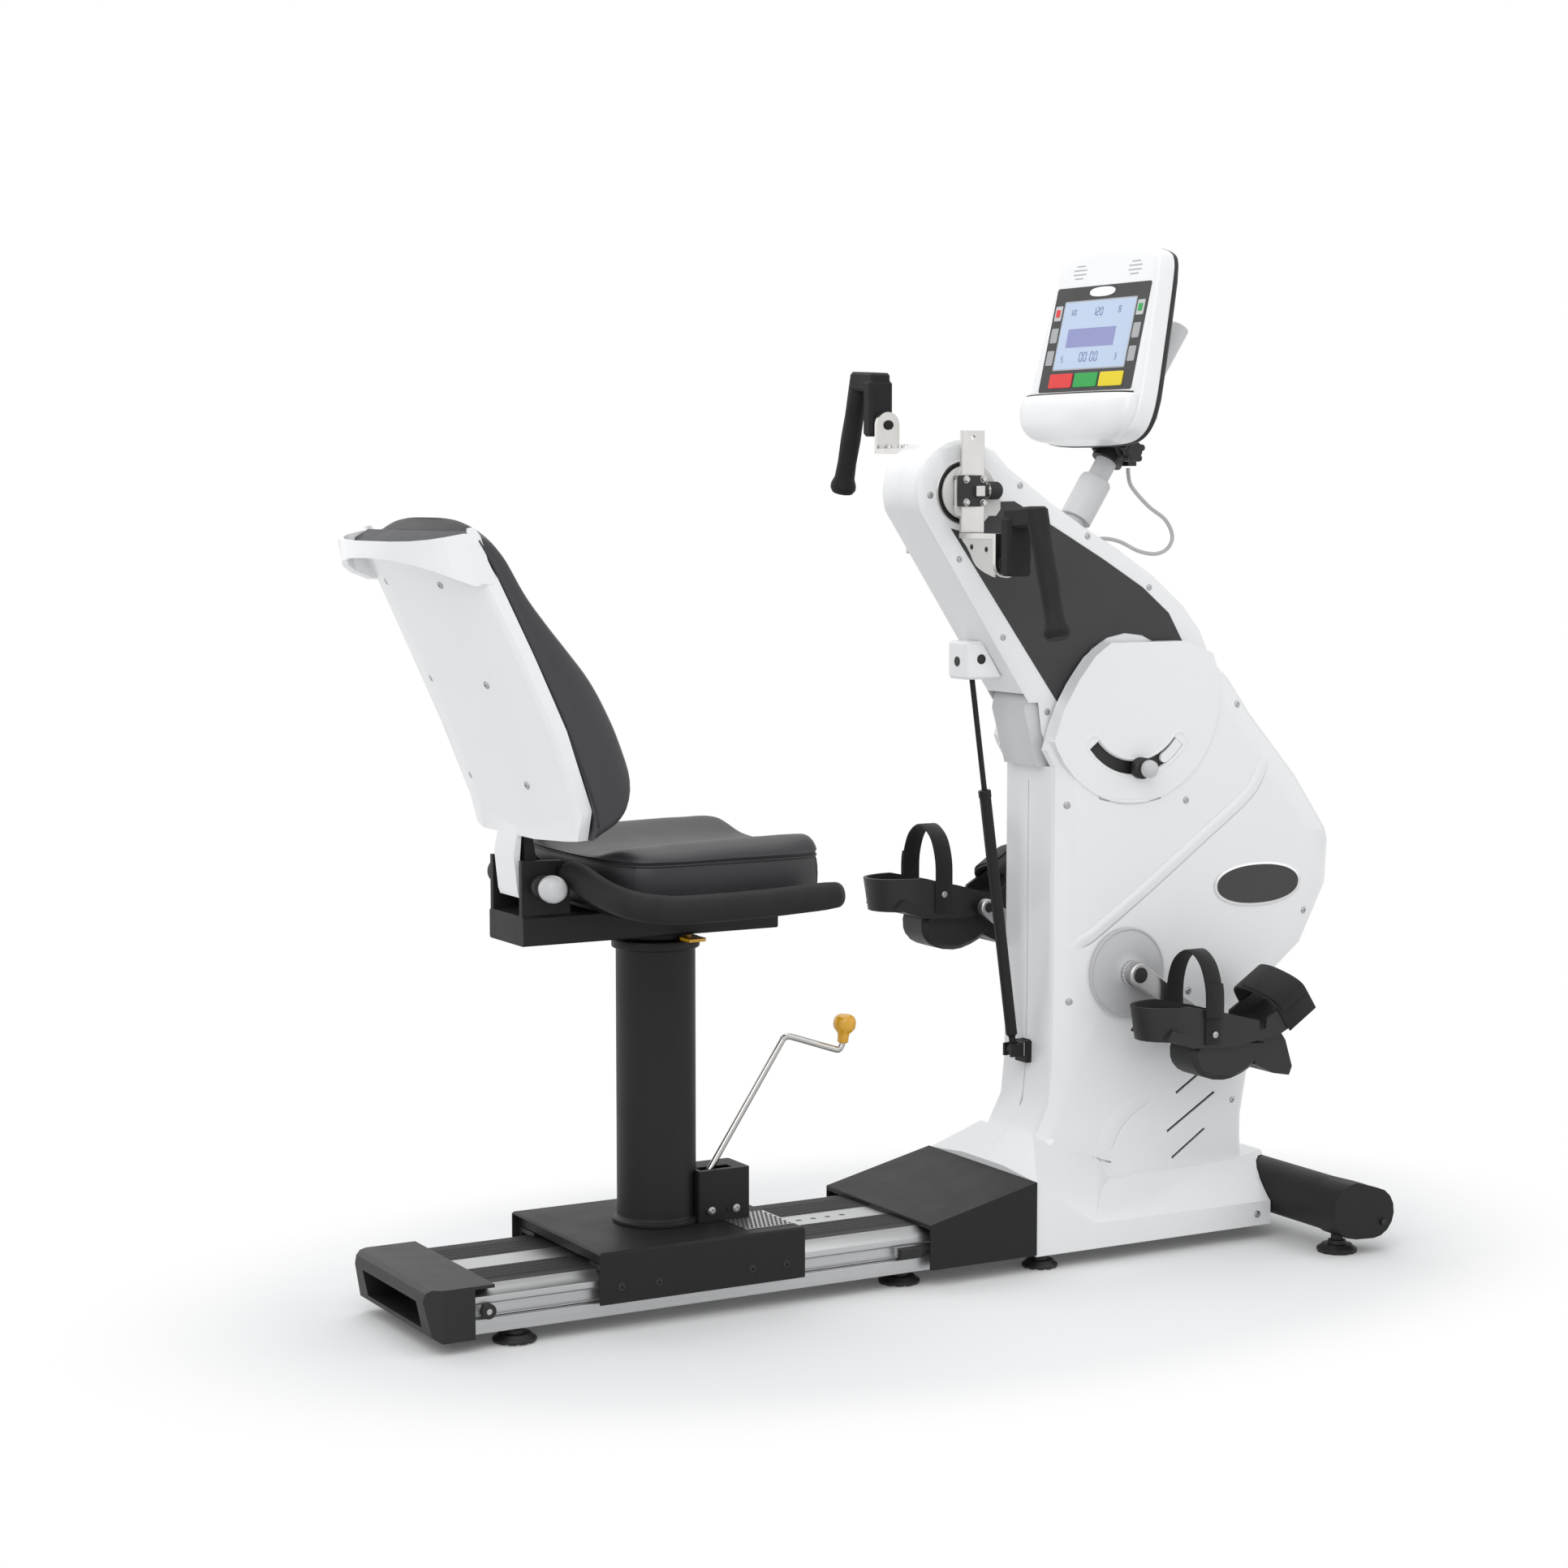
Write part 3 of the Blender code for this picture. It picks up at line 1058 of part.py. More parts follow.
def console_knob():
    profile = [(0.0, -0.0455), (0.0080, -0.0455), (0.0085, -0.0495), (0.0150, -0.0500), (0.0160, -0.0530),
               (0.0160, -0.0610), (0.0140, -0.0640), (0.0, -0.0640)]
    knob = revolve(profile, (TILT[0], 0.0, TILT[1]), (0, 1, 0), 12)
    lobes = [across((TILT[0] + 0.015 * math.cos(a), TILT[1] + 0.015 * math.sin(a)), 0.0055,
                    -0.0632, -0.0505, 8)
             for a in [math.radians(72 * i + 18) for i in range(5)]]
    return node("console_knob", join(knob, *lobes), "black_plastic", (TILT[0], 0.0, TILT[1]))


CABLE_POINTS = [(0.4815, -0.0100, 1.2570), (0.4815, -0.0105, 1.2480), (0.4830, -0.0180, 1.2270),
                (0.5120, -0.0240, 1.1960),
                (0.5430, -0.0280, 1.1740), (0.5560, -0.0300, 1.1480), (0.5470, -0.0300, 1.1280),
                (0.5240, -0.0280, 1.1190),
                (0.4930, -0.0240, 1.1240), (0.4610, -0.0180, 1.1390), (0.4370, -0.0120, 1.1440),
                (0.4160, -0.0060, 1.1423)]


def console_cable():
    path = smooth_path(CABLE_POINTS, 3)
    return node("console_cable", tube_along(path, 0.0032, 8), "pale_plastic", CABLE_POINTS[-1])


# Seat carriage

def carriage_cover():
    x0, x1 = CARRIAGE_X
    cover = box((x0, x1), (-CARRIAGE_HALF, CARRIAGE_HALF), (0.044, CARRIAGE_TOP))
    cover = soften(cover, 0.003, 1, lambda e: min(v.co.z for v in e.verts) > 0.12)
    hollow = box((x0 - 0.01, x1 + 0.01), (-0.1515, 0.1515), (0.030, 0.1170))
    web = [box((x, x + 0.004), (-0.1525, 0.1525), (0.0975, 0.1180)) for x in (x0 + 0.012, x1 - 0.016)]
    cover = join(cut(cover, hollow), *web)
    bores = [upright((COLUMN_X, 0.0), clear_radius(0.0455, 16, GAP), 0.10, 0.13, 16),
             upright((PIN_X, 0.0), clear_radius(PIN_R, 8), 0.10, 0.13, 8)]
    return node("carriage_cover", cut(cover, *bores), "black_steel")


def glides():
    for name, sign in (("glide_left", 1), ("glide_right", -1)):
        bodies = []
        for x0, x1 in ((-0.532, -0.424), (-0.318, -0.211)):
            lo, hi = sorted((sign * 0.1366, sign * 0.1512))
            bodies.append(box((x0, x1), (lo, hi), (0.0492, 0.0648)))
            lo, hi = sorted((sign * 0.1425, sign * 0.1512))
            bodies.append(box((x0, x1), (lo, hi), (0.046, 0.086)))
        lo, hi = sorted((sign * 0.1440, sign * 0.1512))
        bodies.append(box((-0.430, -0.312), (lo, hi), (0.060, 0.080)))
        body = join(bodies[0], *bodies[1:])
        top = []
        for x0, x1 in ((-0.532, -0.424), (-0.318, -0.211)):
            lo, hi = sorted((sign * 0.096, sign * 0.1512))
            top.append(box((x0, x1), (lo, hi), (RAIL_TOP + 0.0004, 0.0972)))
            lo, hi = sorted((sign * 0.1425, sign * 0.1512))
            top.append(box((x0, x1), (lo, hi), (0.080, 0.0972)))
        node(name, join(body, *top), "pale_plastic")


def seat_column():
    wall = COLUMN_R - COLUMN_WALL
    profile = [(COLUMN_R, CARRIAGE_TOP + GAP), (0.066, CARRIAGE_TOP + GAP), (0.066, 0.126),
               (COLUMN_R, 0.130), (COLUMN_R, COLUMN_TOP),
               (0.066, COLUMN_TOP), (0.066, 0.553), (clear_radius(SPINDLE_R, 20), 0.553),
               (clear_radius(SPINDLE_R, 20), 0.520), (wall, 0.505), (wall, CARRIAGE_TOP + GAP)]
    tube = revolve(profile[1:], (COLUMN_X, 0.0, 0.0), (0, 0, 1), 20, True)
    spigot = revolve([(0.0455, 0.101), (0.0455, 0.1235), (wall + 0.001, 0.1235), (wall + 0.001, 0.128),
                      (0.0405, 0.128),
                      (0.0405, 0.101)], (COLUMN_X, 0.0, 0.0), (0, 0, 1), 20, True)
    return node("seat_column", join(tube, spigot), "black_steel", (COLUMN_X, 0.0, CARRIAGE_TOP))


def lever_box():
    body = soften(box((-0.330, -0.243), (-0.060, 0.010), (CARRIAGE_TOP + GAP, 0.200)), 0.003, 1, along("z"))
    inside = box((-0.327, -0.246), (-0.0575, 0.0075), (0.118, 0.1975))
    slot = box((-0.322, -0.268), (-0.049, -0.030), (0.190, 0.21))
    column = upright((COLUMN_X, 0.0), COLUMN_R + GAP, 0.05, 0.30, 20)
    base_ring = upright((COLUMN_X, 0.0), 0.0663, 0.05, 0.1303, 20)
    bolts = [across((x, 0.139), 0.004, -0.0625, -0.059, 8) for x in (-0.316, -0.279)]
    bearing = [across(LEVER_PIVOT, 0.0085, -0.0590, -0.0475, 12)]
    body = join(cut(body, inside, slot), *bolts, *bearing)
    return node("lever_box", cut(body, column, base_ring, bore(LEVER_PIVOT, 0.0045, -0.0565, -0.02, 12)),
                "black_steel")


def slide_lever():
    path = [(-0.3110, -0.0400, 0.1650), (-0.3010, -0.0400, 0.1960), (-0.2980, -0.0400, 0.2030),
            (-0.2350, -0.0450, 0.3020),
            (-0.1840, -0.0490, 0.3815), (-0.1800, -0.0495, 0.3880), (-0.1740, -0.0498, 0.3915),
            (-0.1660, -0.0500, 0.3905),
            (-0.1300, -0.0500, 0.3785), (-0.0900, -0.0500, 0.3650), (-0.0815, -0.0500, 0.3640),
            (-0.0765, -0.0500, 0.3690),
            (-0.0740, -0.0500, 0.3800)]
    shaft = tube_along(path, 0.0050, 8)
    trunnion = across(LEVER_PIVOT, 0.0045, -0.0560, -0.0360, 12)
    finger = hull([(x, y, z) for x, y, z in
                   ((-0.3140, -0.0440, 0.1620), (-0.3140, -0.0440, 0.1680), (-0.3060, -0.0440, 0.1620),
                    (-0.3060, -0.0440, 0.1680),
                    (-0.3120, -0.0370, 0.1620), (-0.3120, -0.0370, 0.1680), (-0.2860, -0.0100, 0.1430),
                    (-0.2860, -0.0100, 0.1480),
                    (-0.2740, -0.0100, 0.1430), (-0.2740, -0.0100, 0.1480), (-0.2860, -0.0050, 0.1430),
                    (-0.2860, -0.0050, 0.1480),
                    (-0.2740, -0.0050, 0.1430), (-0.2740, -0.0050, 0.1480))])
    knob = revolve([(0.0, 0.0), (0.0080, 0.0), (0.0085, 0.012), (0.0165, 0.022), (0.0175, 0.030),
                    (0.0160, 0.037), (0.0100, 0.042), (0.0, 0.0435)],
                   (-0.0745, -0.0500, 0.3750), (0.12, 0.0, 1.0), 12)
    body = join(shaft, trunnion, finger, knob)
    return node("slide_lever", body, "bright_steel", (LEVER_PIVOT[0], -0.0400, LEVER_PIVOT[1]))


def index_pin():
    tip = RAIL_TOP + 0.0005
    profile = [(0.0, tip), (0.0030, tip), (PIN_R, tip + 0.0020), (PIN_R, 0.1490), (0.0064, 0.1490),
               (0.0064, 0.1570), (0.0, 0.1570)]
    return node("index_pin", revolve(profile, (PIN_X, 0.0, 0.0), (0, 0, 1), 12), "bright_steel",
                (PIN_X, 0.0, 0.12))


# Swivel seat

def seat_base():
    beam = soften(box((-0.617, -0.194), (-0.060, 0.060), (0.562, 0.606)), 0.003, 1, along("x"))
    pan = box((-0.495, -0.240), (-0.150, 0.150), (0.604, 0.6132))
    spindle = upright((COLUMN_X, 0.0), SPINDLE_R, 0.420, 0.566, 16)
    flange = upright((COLUMN_X, 0.0), 0.052, 0.5545, 0.565, 16)
    parts = [pan, spindle, flange]
    for sign in (-1, 1):
        lo, hi = sorted((sign * 0.0460, sign * 0.0560))
        parts.append(prism([(-0.617, 0.600), (-0.540, 0.600), (-0.540, 0.676), (-0.552, 0.685),
                            (-0.617, 0.687)], "y", lo, hi))
    body = join(beam, *parts)
    body = cut(body, bore(SEAT_PIVOT, 0.0069, -0.08, 0.08, 12))
    return node("seat_base", body, "black_steel", (COLUMN_X, 0.0, 0.5535))


def cushion_seat():
    xs = [-0.515, -0.497, -0.455, -0.400, -0.345, -0.290, -0.235, -0.197, -0.178]
    ys = [-0.200, -0.188, -0.160, -0.115, -0.060, 0.0, 0.060, 0.115, 0.160, 0.188, 0.200]
    top, low = [], []
    for i, x in enumerate(xs):
        fore = (x - xs[0]) / (xs[-1] - xs[0])
        for y in ys:
            s = abs(y) / 0.200
            bolster = 0.034 * math.exp(-((s - 0.74) / 0.26) ** 2)
            level = 0.688 + bolster * (0.75 + 0.25 * math.cos(math.pi * (fore - 0.2))) + 0.006 * math.sin(math.pi * fore)
            edge = max(0.0, (s - 0.88) / 0.12)
            level -= 0.016 * edge
            if i == len(xs) - 1:
                level -= 0.016
            if i == 0:
                level -= 0.010
            trim = 1.0
            if i in (0, len(xs) - 1):
                trim = 0.88
            if i in (1, len(xs) - 2):
                trim = 0.975
            top.append((x, y * trim, level))
            low.append((x, y * trim, 0.6135 if 0 < i < len(xs) - 1 and s < 0.95 else 0.6165))
    rows, cols = len(xs), len(ys)
    points = top + low
    base = len(top)
    faces = []
    for i in range(rows - 1):
        for j in range(cols - 1):
            a = i * cols + j
            faces.append((a, a + 1, a + cols + 1, a + cols))
            faces.append((base + a, base + a + cols, base + a + cols + 1, base + a + 1))
    rim = [j for j in range(cols)] + [i * cols + cols - 1 for i in range(1, rows)]
    rim += [(rows - 1) * cols + j for j in range(cols - 2, -1, -1)] + [i * cols for i in range(rows - 2,
                                                                                               0, -1)]
    count = len(rim)
    start = len(points)
    centre = Vector((-0.346, 0.0, 0.0))
    for index in rim:
        x, y, z = top[index]
        out = Vector((x, y, 0.0)) - centre
        out = out.normalized() * 0.0045
        points.append((x + out.x, y + out.y, z - 0.012))
    for index in rim:
        x, y, _ = low[index]
        points.append((x, y, 0.632))
    for k in range(count):
        n = (k + 1) % count
        faces.append((rim[k], rim[n], start + n, start + k))
        faces.append((start + k, start + n, start + count + n, start + count + k))
        faces.append((start + count + k, start + count + n, base + rim[n], base + rim[k]))
    return node("seat_cushion", solid(points, faces), "vinyl", (COLUMN_X, 0.0, 0.6135), 50.0)


def armrests():
    for side, sign in (("left", 1), ("right", -1)):
        path = smooth_path([(-0.5480, sign * 0.0700, 0.6670), (-0.5460, sign * 0.110, 0.6620),
                            (-0.5420, sign * 0.172, 0.6480),
                            (-0.5240, sign * 0.222, 0.6370), (-0.4850, sign * 0.244, 0.6300),
                            (-0.4400, sign * 0.2495, 0.6280),
                            (-0.3300, sign * 0.250, 0.6290), (-0.2050, sign * 0.250, 0.6340)], 2)
        foam = tube_along(path, 0.0205, 12)
        stem = tube_along([(-0.5500, sign * 0.0580, 0.6680), (-0.5460, sign * 0.100, 0.6630)], 0.012, 8)
        plug = rod((-0.207, sign * 0.250, 0.634), (-0.195, sign * 0.250, 0.6345), 0.0165, None, 12)
        node("armrest_" + side, join(foam, stem, plug), "rubber", (COLUMN_X, 0.0, 0.6))


def swivel_release():
    tab = [(-0.362, -0.092), (-0.336, -0.092), (-0.331, -0.086), (-0.331, -0.060), (-0.338, -0.049),
           (-0.352, -0.049), (-0.362, -0.060)]
    plate = join(prism(tab, "z", 0.5548, 0.5592), upright((-0.345, -0.056), 0.004, 0.5570, 0.5620 - GAP, 8))
    return node("swivel_release", plate, "yellow_plastic", (-0.345, -0.056, 0.557))


# Backrest

FRONT_PROFILE = [(-0.761, 1.187), (-0.731, 1.182), (-0.701, 1.137), (-0.658, 1.069), (-0.609, 1.011),
                 (-0.565, 0.959),
                 (-0.534, 0.907), (-0.511, 0.854), (-0.499, 0.813), (-0.501, 0.784), (-0.515, 0.756),
                 (-0.554, 0.729)]
TRAY_LINE = [(-0.7500, 1.1640), (-0.713, 1.100), (-0.660, 0.990), (-0.612, 0.886), (-0.5685, 0.770),
             (-0.5655, 0.726)]


def offset_line(line, amount):
    out = []
    for i, point in enumerate(line):
        a, b = Vector(line[max(i - 1, 0)]), Vector(line[min(i + 1, len(line) - 1)])
        run = (b - a).normalized()
        out.append((point[0] - run.y * amount, point[1] + run.x * amount))
    return out


def back_half(k, count):
    ends = {0: 0.182, 1: 0.196, count - 2: 0.190, count - 1: 0.170}
    return ends.get(k, BACK_HALF)


def back_shell():
    count = len(TRAY_LINE)

    def block(front, rear, trim, reach):
        a, b = offset_line(TRAY_LINE, front), offset_line(TRAY_LINE, rear)
        up, down = Vector(TRAY_LINE[0]) - Vector(TRAY_LINE[1]), Vector(TRAY_LINE[-1]) - Vector(TRAY_LINE[-2])
        up, down = up.normalized() * reach, down.normalized() * reach
        a[0], b[0] = tuple(Vector(a[0]) + up), tuple(Vector(b[0]) + up)
        a[-1], b[-1] = tuple(Vector(a[-1]) + down), tuple(Vector(b[-1]) + down)
        rings = []
        crown = offset_line(TRAY_LINE, rear - 0.020)
        crown[0], crown[-1] = tuple(Vector(crown[0]) + up), tuple(Vector(crown[-1]) + down)
        for k in range(count):
            half = back_half(k, count) - trim
            soft = half - 0.014
            (fx, fz), (rx, rz), (mx, mz) = a[k], b[k], crown[k]
            ex, ez = fx + (rx - fx) * 0.62, fz + (rz - fz) * 0.62
            rings.append([(fx, -half, fz), (fx, half, fz), (ex, half, ez), (rx, soft, rz), (mx, 0.090, mz),
                          (mx, -0.090, mz), (rx, -soft, rz), (ex, -half, ez)])
        return loft(rings)
    shell = block(0.0, -0.027, 0.0, 0.0)
    hollow = block(0.010, -0.0232, 0.0043, -0.004)
    shell = flat_faced(cut(shell, hollow))
    rings = []
    for a in [math.radians(t) for t in (-91, -90, -75, -60, -42, -22, 0, 22, 42, 60, 75, 90, 91)]:
        reach = max(0.0, math.cos(a))
        side = max(-1.0, min(1.0, math.sin(a)))
        x = -0.748 - 0.080 * reach ** 0.75 + (0.010 if abs(a) > math.radians(90.5) else 0.0)
        y = 0.1930 * side
        tall = 0.020 + 0.048 * (1.0 - reach) ** 1.3
        z = 1.136 - 0.012 * (1.0 - reach)
        back = 0.016 * (1.0 - reach)
        rings.append([(x - 0.0035 * reach, y * 1.021, z - tall / 2), (x + 0.004, y * 0.968,
                                                                      z - tall / 2 + 0.002),
                      (x + 0.004 - back, y * 0.968, z + tall / 2 + 0.004),
                      (x - 0.0045 * reach - back, y * 1.021, z + tall / 2 + 0.004)])
    tongue = prism([(-0.6100, 0.7450), (-0.6150, 0.7200), (-0.6200, 0.6950), (-0.6140, 0.6400),
                    (-0.6110, 0.6310), (-0.6080, 0.6350),
                    (-0.6095, 0.6900), (-0.6062, 0.7300)], "y", -0.034, 0.034)
    shell = join(shell, loft(rings), tongue)
    shell = cut(shell, box((-0.6055, -0.540), (-0.0415, 0.0415), (0.600, 0.7345)))
    return node("back_shell", shell, "white_plastic", (SEAT_PIVOT[0], 0.0, SEAT_PIVOT[1]), 30.0)


def back_cushion():
    line = offset_line(TRAY_LINE, GAP + 0.0001)
    marks = [0.0]
    for a, b in zip(line, line[1:]):
        marks.append(marks[-1] + math.hypot(b[0] - a[0], b[1] - a[1]))
    marks = [m / marks[-1] for m in marks]
    spots = [0.0,
             0.075] + marks[1:2] + [(marks[1] + marks[2]) / 2] + marks[2:3] + [(marks[2] + marks[3]) / 2]
    spots += marks[3:4] + [(marks[3] + marks[4]) / 2] + marks[4:5] + [0.955, 1.0]

    def on(path, t):
        lengths = [0.0]
        for a, b in zip(path, path[1:]):
            lengths.append(lengths[-1] + math.hypot(b[0] - a[0], b[1] - a[1]))
        want = t * lengths[-1]
        for k in range(len(path) - 1):
            if want <= lengths[k + 1] + 1e-9:
                f = (want - lengths[k]) / (lengths[k + 1] - lengths[k])
                return Vector((path[k][0] + (path[k + 1][0] - path[k][0]) * f,
                               path[k][1] + (path[k + 1][1] - path[k][1]) * f))
        return Vector(path[-1])
    front_line = FRONT_PROFILE[1:-1]
    rings = []
    for t in spots:
        back, front = on(line, t), on(front_line, t)
        if t == 0.0:
            back = back + Vector((0.002, 0.003))
        half = 0.197 - (0.016 if t in (0.0, 1.0) else 0.0) - (0.003 if t in (0.075, 0.955) else 0.0)
        ring = []
        profile = [(-1.0, 0.0), (-1.0, 0.55), (-0.965, 0.86), (-0.85, 0.985), (-0.62, 0.97),
                   (-0.32, 0.91), (0.0, 0.885),
                   (0.32, 0.91), (0.62, 0.97), (0.85, 0.985), (0.965, 0.86), (1.0, 0.55), (1.0, 0.0)]
        for s, f in profile:
            spot = back + (front - back) * f
            ring.append((spot.x, s * half, spot.y))
        rings.append(ring)
    return node("back_cushion", loft(rings), "vinyl", (SEAT_PIVOT[0], 0.0, SEAT_PIVOT[1]), 50.0)


def back_upright():
    front, rear = offset_line(TRAY_LINE, -0.034)[3:5], offset_line(TRAY_LINE, GAP - 0.0432)[3:5]
    foot_line = [(-0.6046, 0.742), (-0.6025, 0.640), (-0.578, 0.640), (-0.594, 0.735)]
    plate = prism(rear + foot_line + front[::-1], "y", -0.0395, 0.0395)
    hub = across(SEAT_PIVOT, 0.016, -0.0450, 0.0450, 16)
    pin = across(SEAT_PIVOT, 0.0069, -0.0640, 0.0640, 12)
    return node("back_upright", join(plate, hub, pin), "black_steel", (SEAT_PIVOT[0], 0.0, SEAT_PIVOT[1]))


def back_knob():
    x, z = SEAT_PIVOT
    profile = [(0.0, -0.0645), (0.0165, -0.0645), (0.0165, -0.0760), (0.0090, -0.0780), (0.0090, -0.0840),
               (0.0150, -0.0870),
               (0.0205, -0.0940), (0.0222, -0.1040), (0.0205, -0.1140), (0.0150, -0.1210),
               (0.0070, -0.1250), (0.0, -0.1255)]
    return node("back_knob", revolve(profile, (x, 0.0, z), (0, 1, 0), 12), "pale_plastic", (x, 0.0, z))


def build():
    clear_scene()
    rail_beam()
    rear_end_cap()
    wedge_cover()
    housings()
    tower_frame()
    front_stabiliser()
    wheels()
    drive()
    crank_arms()
    pedals()
    arm_shells()
    arm_panels()
    arm_frame()
    spring_block()
    gas_spring()
    arm_lock_knob()
    hand_axle()
    for side, sign in (("left", 1), ("right", -1)):
        hand_crank(side, sign)
        handle(side, sign)
    mast()
    console_clamp()
    console_front()
    console_back()
    console_knob()
    console_cable()
    carriage_cover()
    glides()
    seat_column()
    lever_box()
    slide_lever()
    index_pin()
    seat_base()
    cushion_seat()
    armrests()
    swivel_release()
    back_shell()
    back_cushion()
    back_upright()
    back_knob()


build()
bpy.context.view_layer.update()
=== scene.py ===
"""Looks of the total body trainer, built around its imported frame."""

import json
import math

import bmesh
import bpy
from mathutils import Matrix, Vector, noise
from mathutils.bvhtree import BVHTree


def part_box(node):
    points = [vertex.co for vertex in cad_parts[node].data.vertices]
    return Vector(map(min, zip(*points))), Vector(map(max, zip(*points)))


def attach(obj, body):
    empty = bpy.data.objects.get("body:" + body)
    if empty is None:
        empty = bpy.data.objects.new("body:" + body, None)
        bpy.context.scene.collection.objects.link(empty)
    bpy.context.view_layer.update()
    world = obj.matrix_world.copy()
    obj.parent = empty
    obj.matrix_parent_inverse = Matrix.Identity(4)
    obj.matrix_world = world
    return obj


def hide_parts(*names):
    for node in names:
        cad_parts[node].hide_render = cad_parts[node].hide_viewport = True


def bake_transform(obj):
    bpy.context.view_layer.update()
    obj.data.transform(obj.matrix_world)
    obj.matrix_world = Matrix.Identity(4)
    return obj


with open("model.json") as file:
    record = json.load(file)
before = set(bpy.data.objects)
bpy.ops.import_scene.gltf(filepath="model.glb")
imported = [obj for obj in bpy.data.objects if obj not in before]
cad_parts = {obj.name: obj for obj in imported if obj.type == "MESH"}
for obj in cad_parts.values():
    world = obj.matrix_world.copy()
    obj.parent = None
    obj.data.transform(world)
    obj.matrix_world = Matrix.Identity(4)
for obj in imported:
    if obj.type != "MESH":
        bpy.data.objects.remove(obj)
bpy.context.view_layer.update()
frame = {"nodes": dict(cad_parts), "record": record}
NODES = frame["nodes"]
SIDES = (("left", 1), ("right", -1))
UP = (0, 0, 1)

# Places are written in the drawing's own X, whose zero lies SHIFT from the row frame's

PIVOT = (0.449, 0.884)
SHIFT = (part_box("pivot_shaft")[0].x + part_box("pivot_shaft")[1].x) / 2 - PIVOT[0]
CRANK = (0.432, 0.45)
CRANK_LENGTH = 0.16
CRANK_DROP = math.radians(34.0)
HUB = (0.138, 1.218)
HAND_RADIUS = 0.108
COLUMN_X = -0.372
SEAT_PIVOT = (-0.59, 0.65)
RAIL_TOP = 0.09
RAIL_SIDE = 0.1418
HOUSING_SIDE = 0.085
ARM_SIDE = 0.055
FACE_LEAN = math.radians(13.0)


def spot(x, y, z):
    return Vector((x + SHIFT, y, z))


def at(points):
    return [spot(*p) for p in points]


# Camera, light and floor

CAMERA_PLACE = (-2.4745, -4.1334, 1.22)
CAMERA_TURN, CAMERA_DROP = math.radians(29.35), math.radians(5.38)
CAMERA_LENS = 71.37
SOFTBOXES = (("key", (-2.6, -2.6, 3.6), (0.0, 0.0, 0.6), 4.4, 97.0),
             ("fill", (3.4, -3.0, 2.4), (0.2, 0.0, 0.7), 4.0, 30.0),
             ("top", (0.4, 0.8, 3.8), (0.0, 0.0, 0.5), 3.4, 50.0),
             ("rear", (-1.6, 3.6, 2.4), (0.0, 0.0, 0.7), 3.6, 26.0))
SKY_COLOUR, SKY_STRENGTH = (0.96, 0.98, 1.0, 1.0), 0.52
FLOOR_HALF, FLOOR_LEVEL = 12.0, -0.0004
FLOOR_COLOUR, FLOOR_LIFT = (0.86, 0.86, 0.86, 1.0), 0.05
FADE_START, FADE_END, FADE_STRETCH = 0.92, 1.34, (1.0, 1.6, 1.0)


def aimed(name, data, place, look):
    item = bpy.data.objects.new(name, data)
    bpy.context.collection.objects.link(item)
    item.location = place
    item.rotation_mode = "QUATERNION"
    item.rotation_quaternion = look.to_track_quat("-Z", "Y")
    return item


def camera():
    data = bpy.data.cameras.new("camera")
    data.lens = CAMERA_LENS
    data.sensor_width = 36.0
    level = math.cos(CAMERA_DROP)
    look = Vector((math.sin(CAMERA_TURN) * level, math.cos(CAMERA_TURN) * level, -math.sin(CAMERA_DROP)))
    bpy.context.scene.camera = aimed("camera", data, spot(*CAMERA_PLACE), look)


def softbox(name, place, aim, size, power):
    data = bpy.data.lights.new(name, "AREA")
    data.shape = "SQUARE"
    data.size = size
    data.energy = power
    aimed(name, data, place, Vector(aim) - Vector(place))


def wired(tree, kind, sources, **settings):
    """New node with its settings. Each source is a socket linked to an input, or that input's value."""
    item = tree.nodes.new(kind)
    for key, value in settings.items():
        setattr(item, key, value)
    for key, source in sources.items():
        if isinstance(source, bpy.types.NodeSocket):
            tree.links.new(source, item.inputs[key])
        else:
            item.inputs[key].default_value = source
    return item


def calculated(tree, operation, a, b):
    return wired(tree, "ShaderNodeMath", {0: a, 1: b}, operation=operation).outputs[0]


def seen_directly(tree):
    """One where a ray comes from the camera, a mirror or glass, and nought elsewhere."""
    path = tree.nodes.new("ShaderNodeLightPath").outputs
    opaque = calculated(tree, "MAXIMUM", path["Is Camera Ray"], path["Is Glossy Ray"])
    return calculated(tree, "MAXIMUM", opaque, path["Is Transmission Ray"])


def studio():
    bpy.context.scene.view_settings.view_transform = "Standard"
    world = bpy.data.worlds.new("studio")
    bpy.context.scene.world = world
    world.use_nodes = True
    tree = world.node_tree
    tree.nodes.clear()
    white = wired(tree, "ShaderNodeBackground", {"Color": (1.0, 1.0, 1.0, 1.0)})
    glow = wired(tree, "ShaderNodeBackground", {"Color": SKY_COLOUR, "Strength": SKY_STRENGTH})
    sources = {0: seen_directly(tree), 1: glow.outputs[0], 2: white.outputs[0]}
    mix = wired(tree, "ShaderNodeMixShader", sources)
    wired(tree, "ShaderNodeOutputWorld", {"Surface": mix.outputs[0]})
    for lamp in SOFTBOXES:
        softbox(*lamp)


def floor_fade(tree, seen):
    """Nought near the object and one further out, for rays that see the floor directly."""
    place = tree.nodes.new("ShaderNodeTexCoord").outputs["Object"]
    wide = wired(tree, "ShaderNodeVectorMath", {0: place, 1: FADE_STRETCH}, operation="MULTIPLY")
    reach = wired(tree, "ShaderNodeVectorMath", {0: wide.outputs["Vector"]}, operation="LENGTH")
    limits = {"Value": reach.outputs["Value"], "From Min": FADE_START, "From Max": FADE_END}
    fade = wired(tree, "ShaderNodeMapRange", limits, interpolation_type="SMOOTHSTEP")
    return calculated(tree, "MULTIPLY", fade.outputs["Result"], seen)


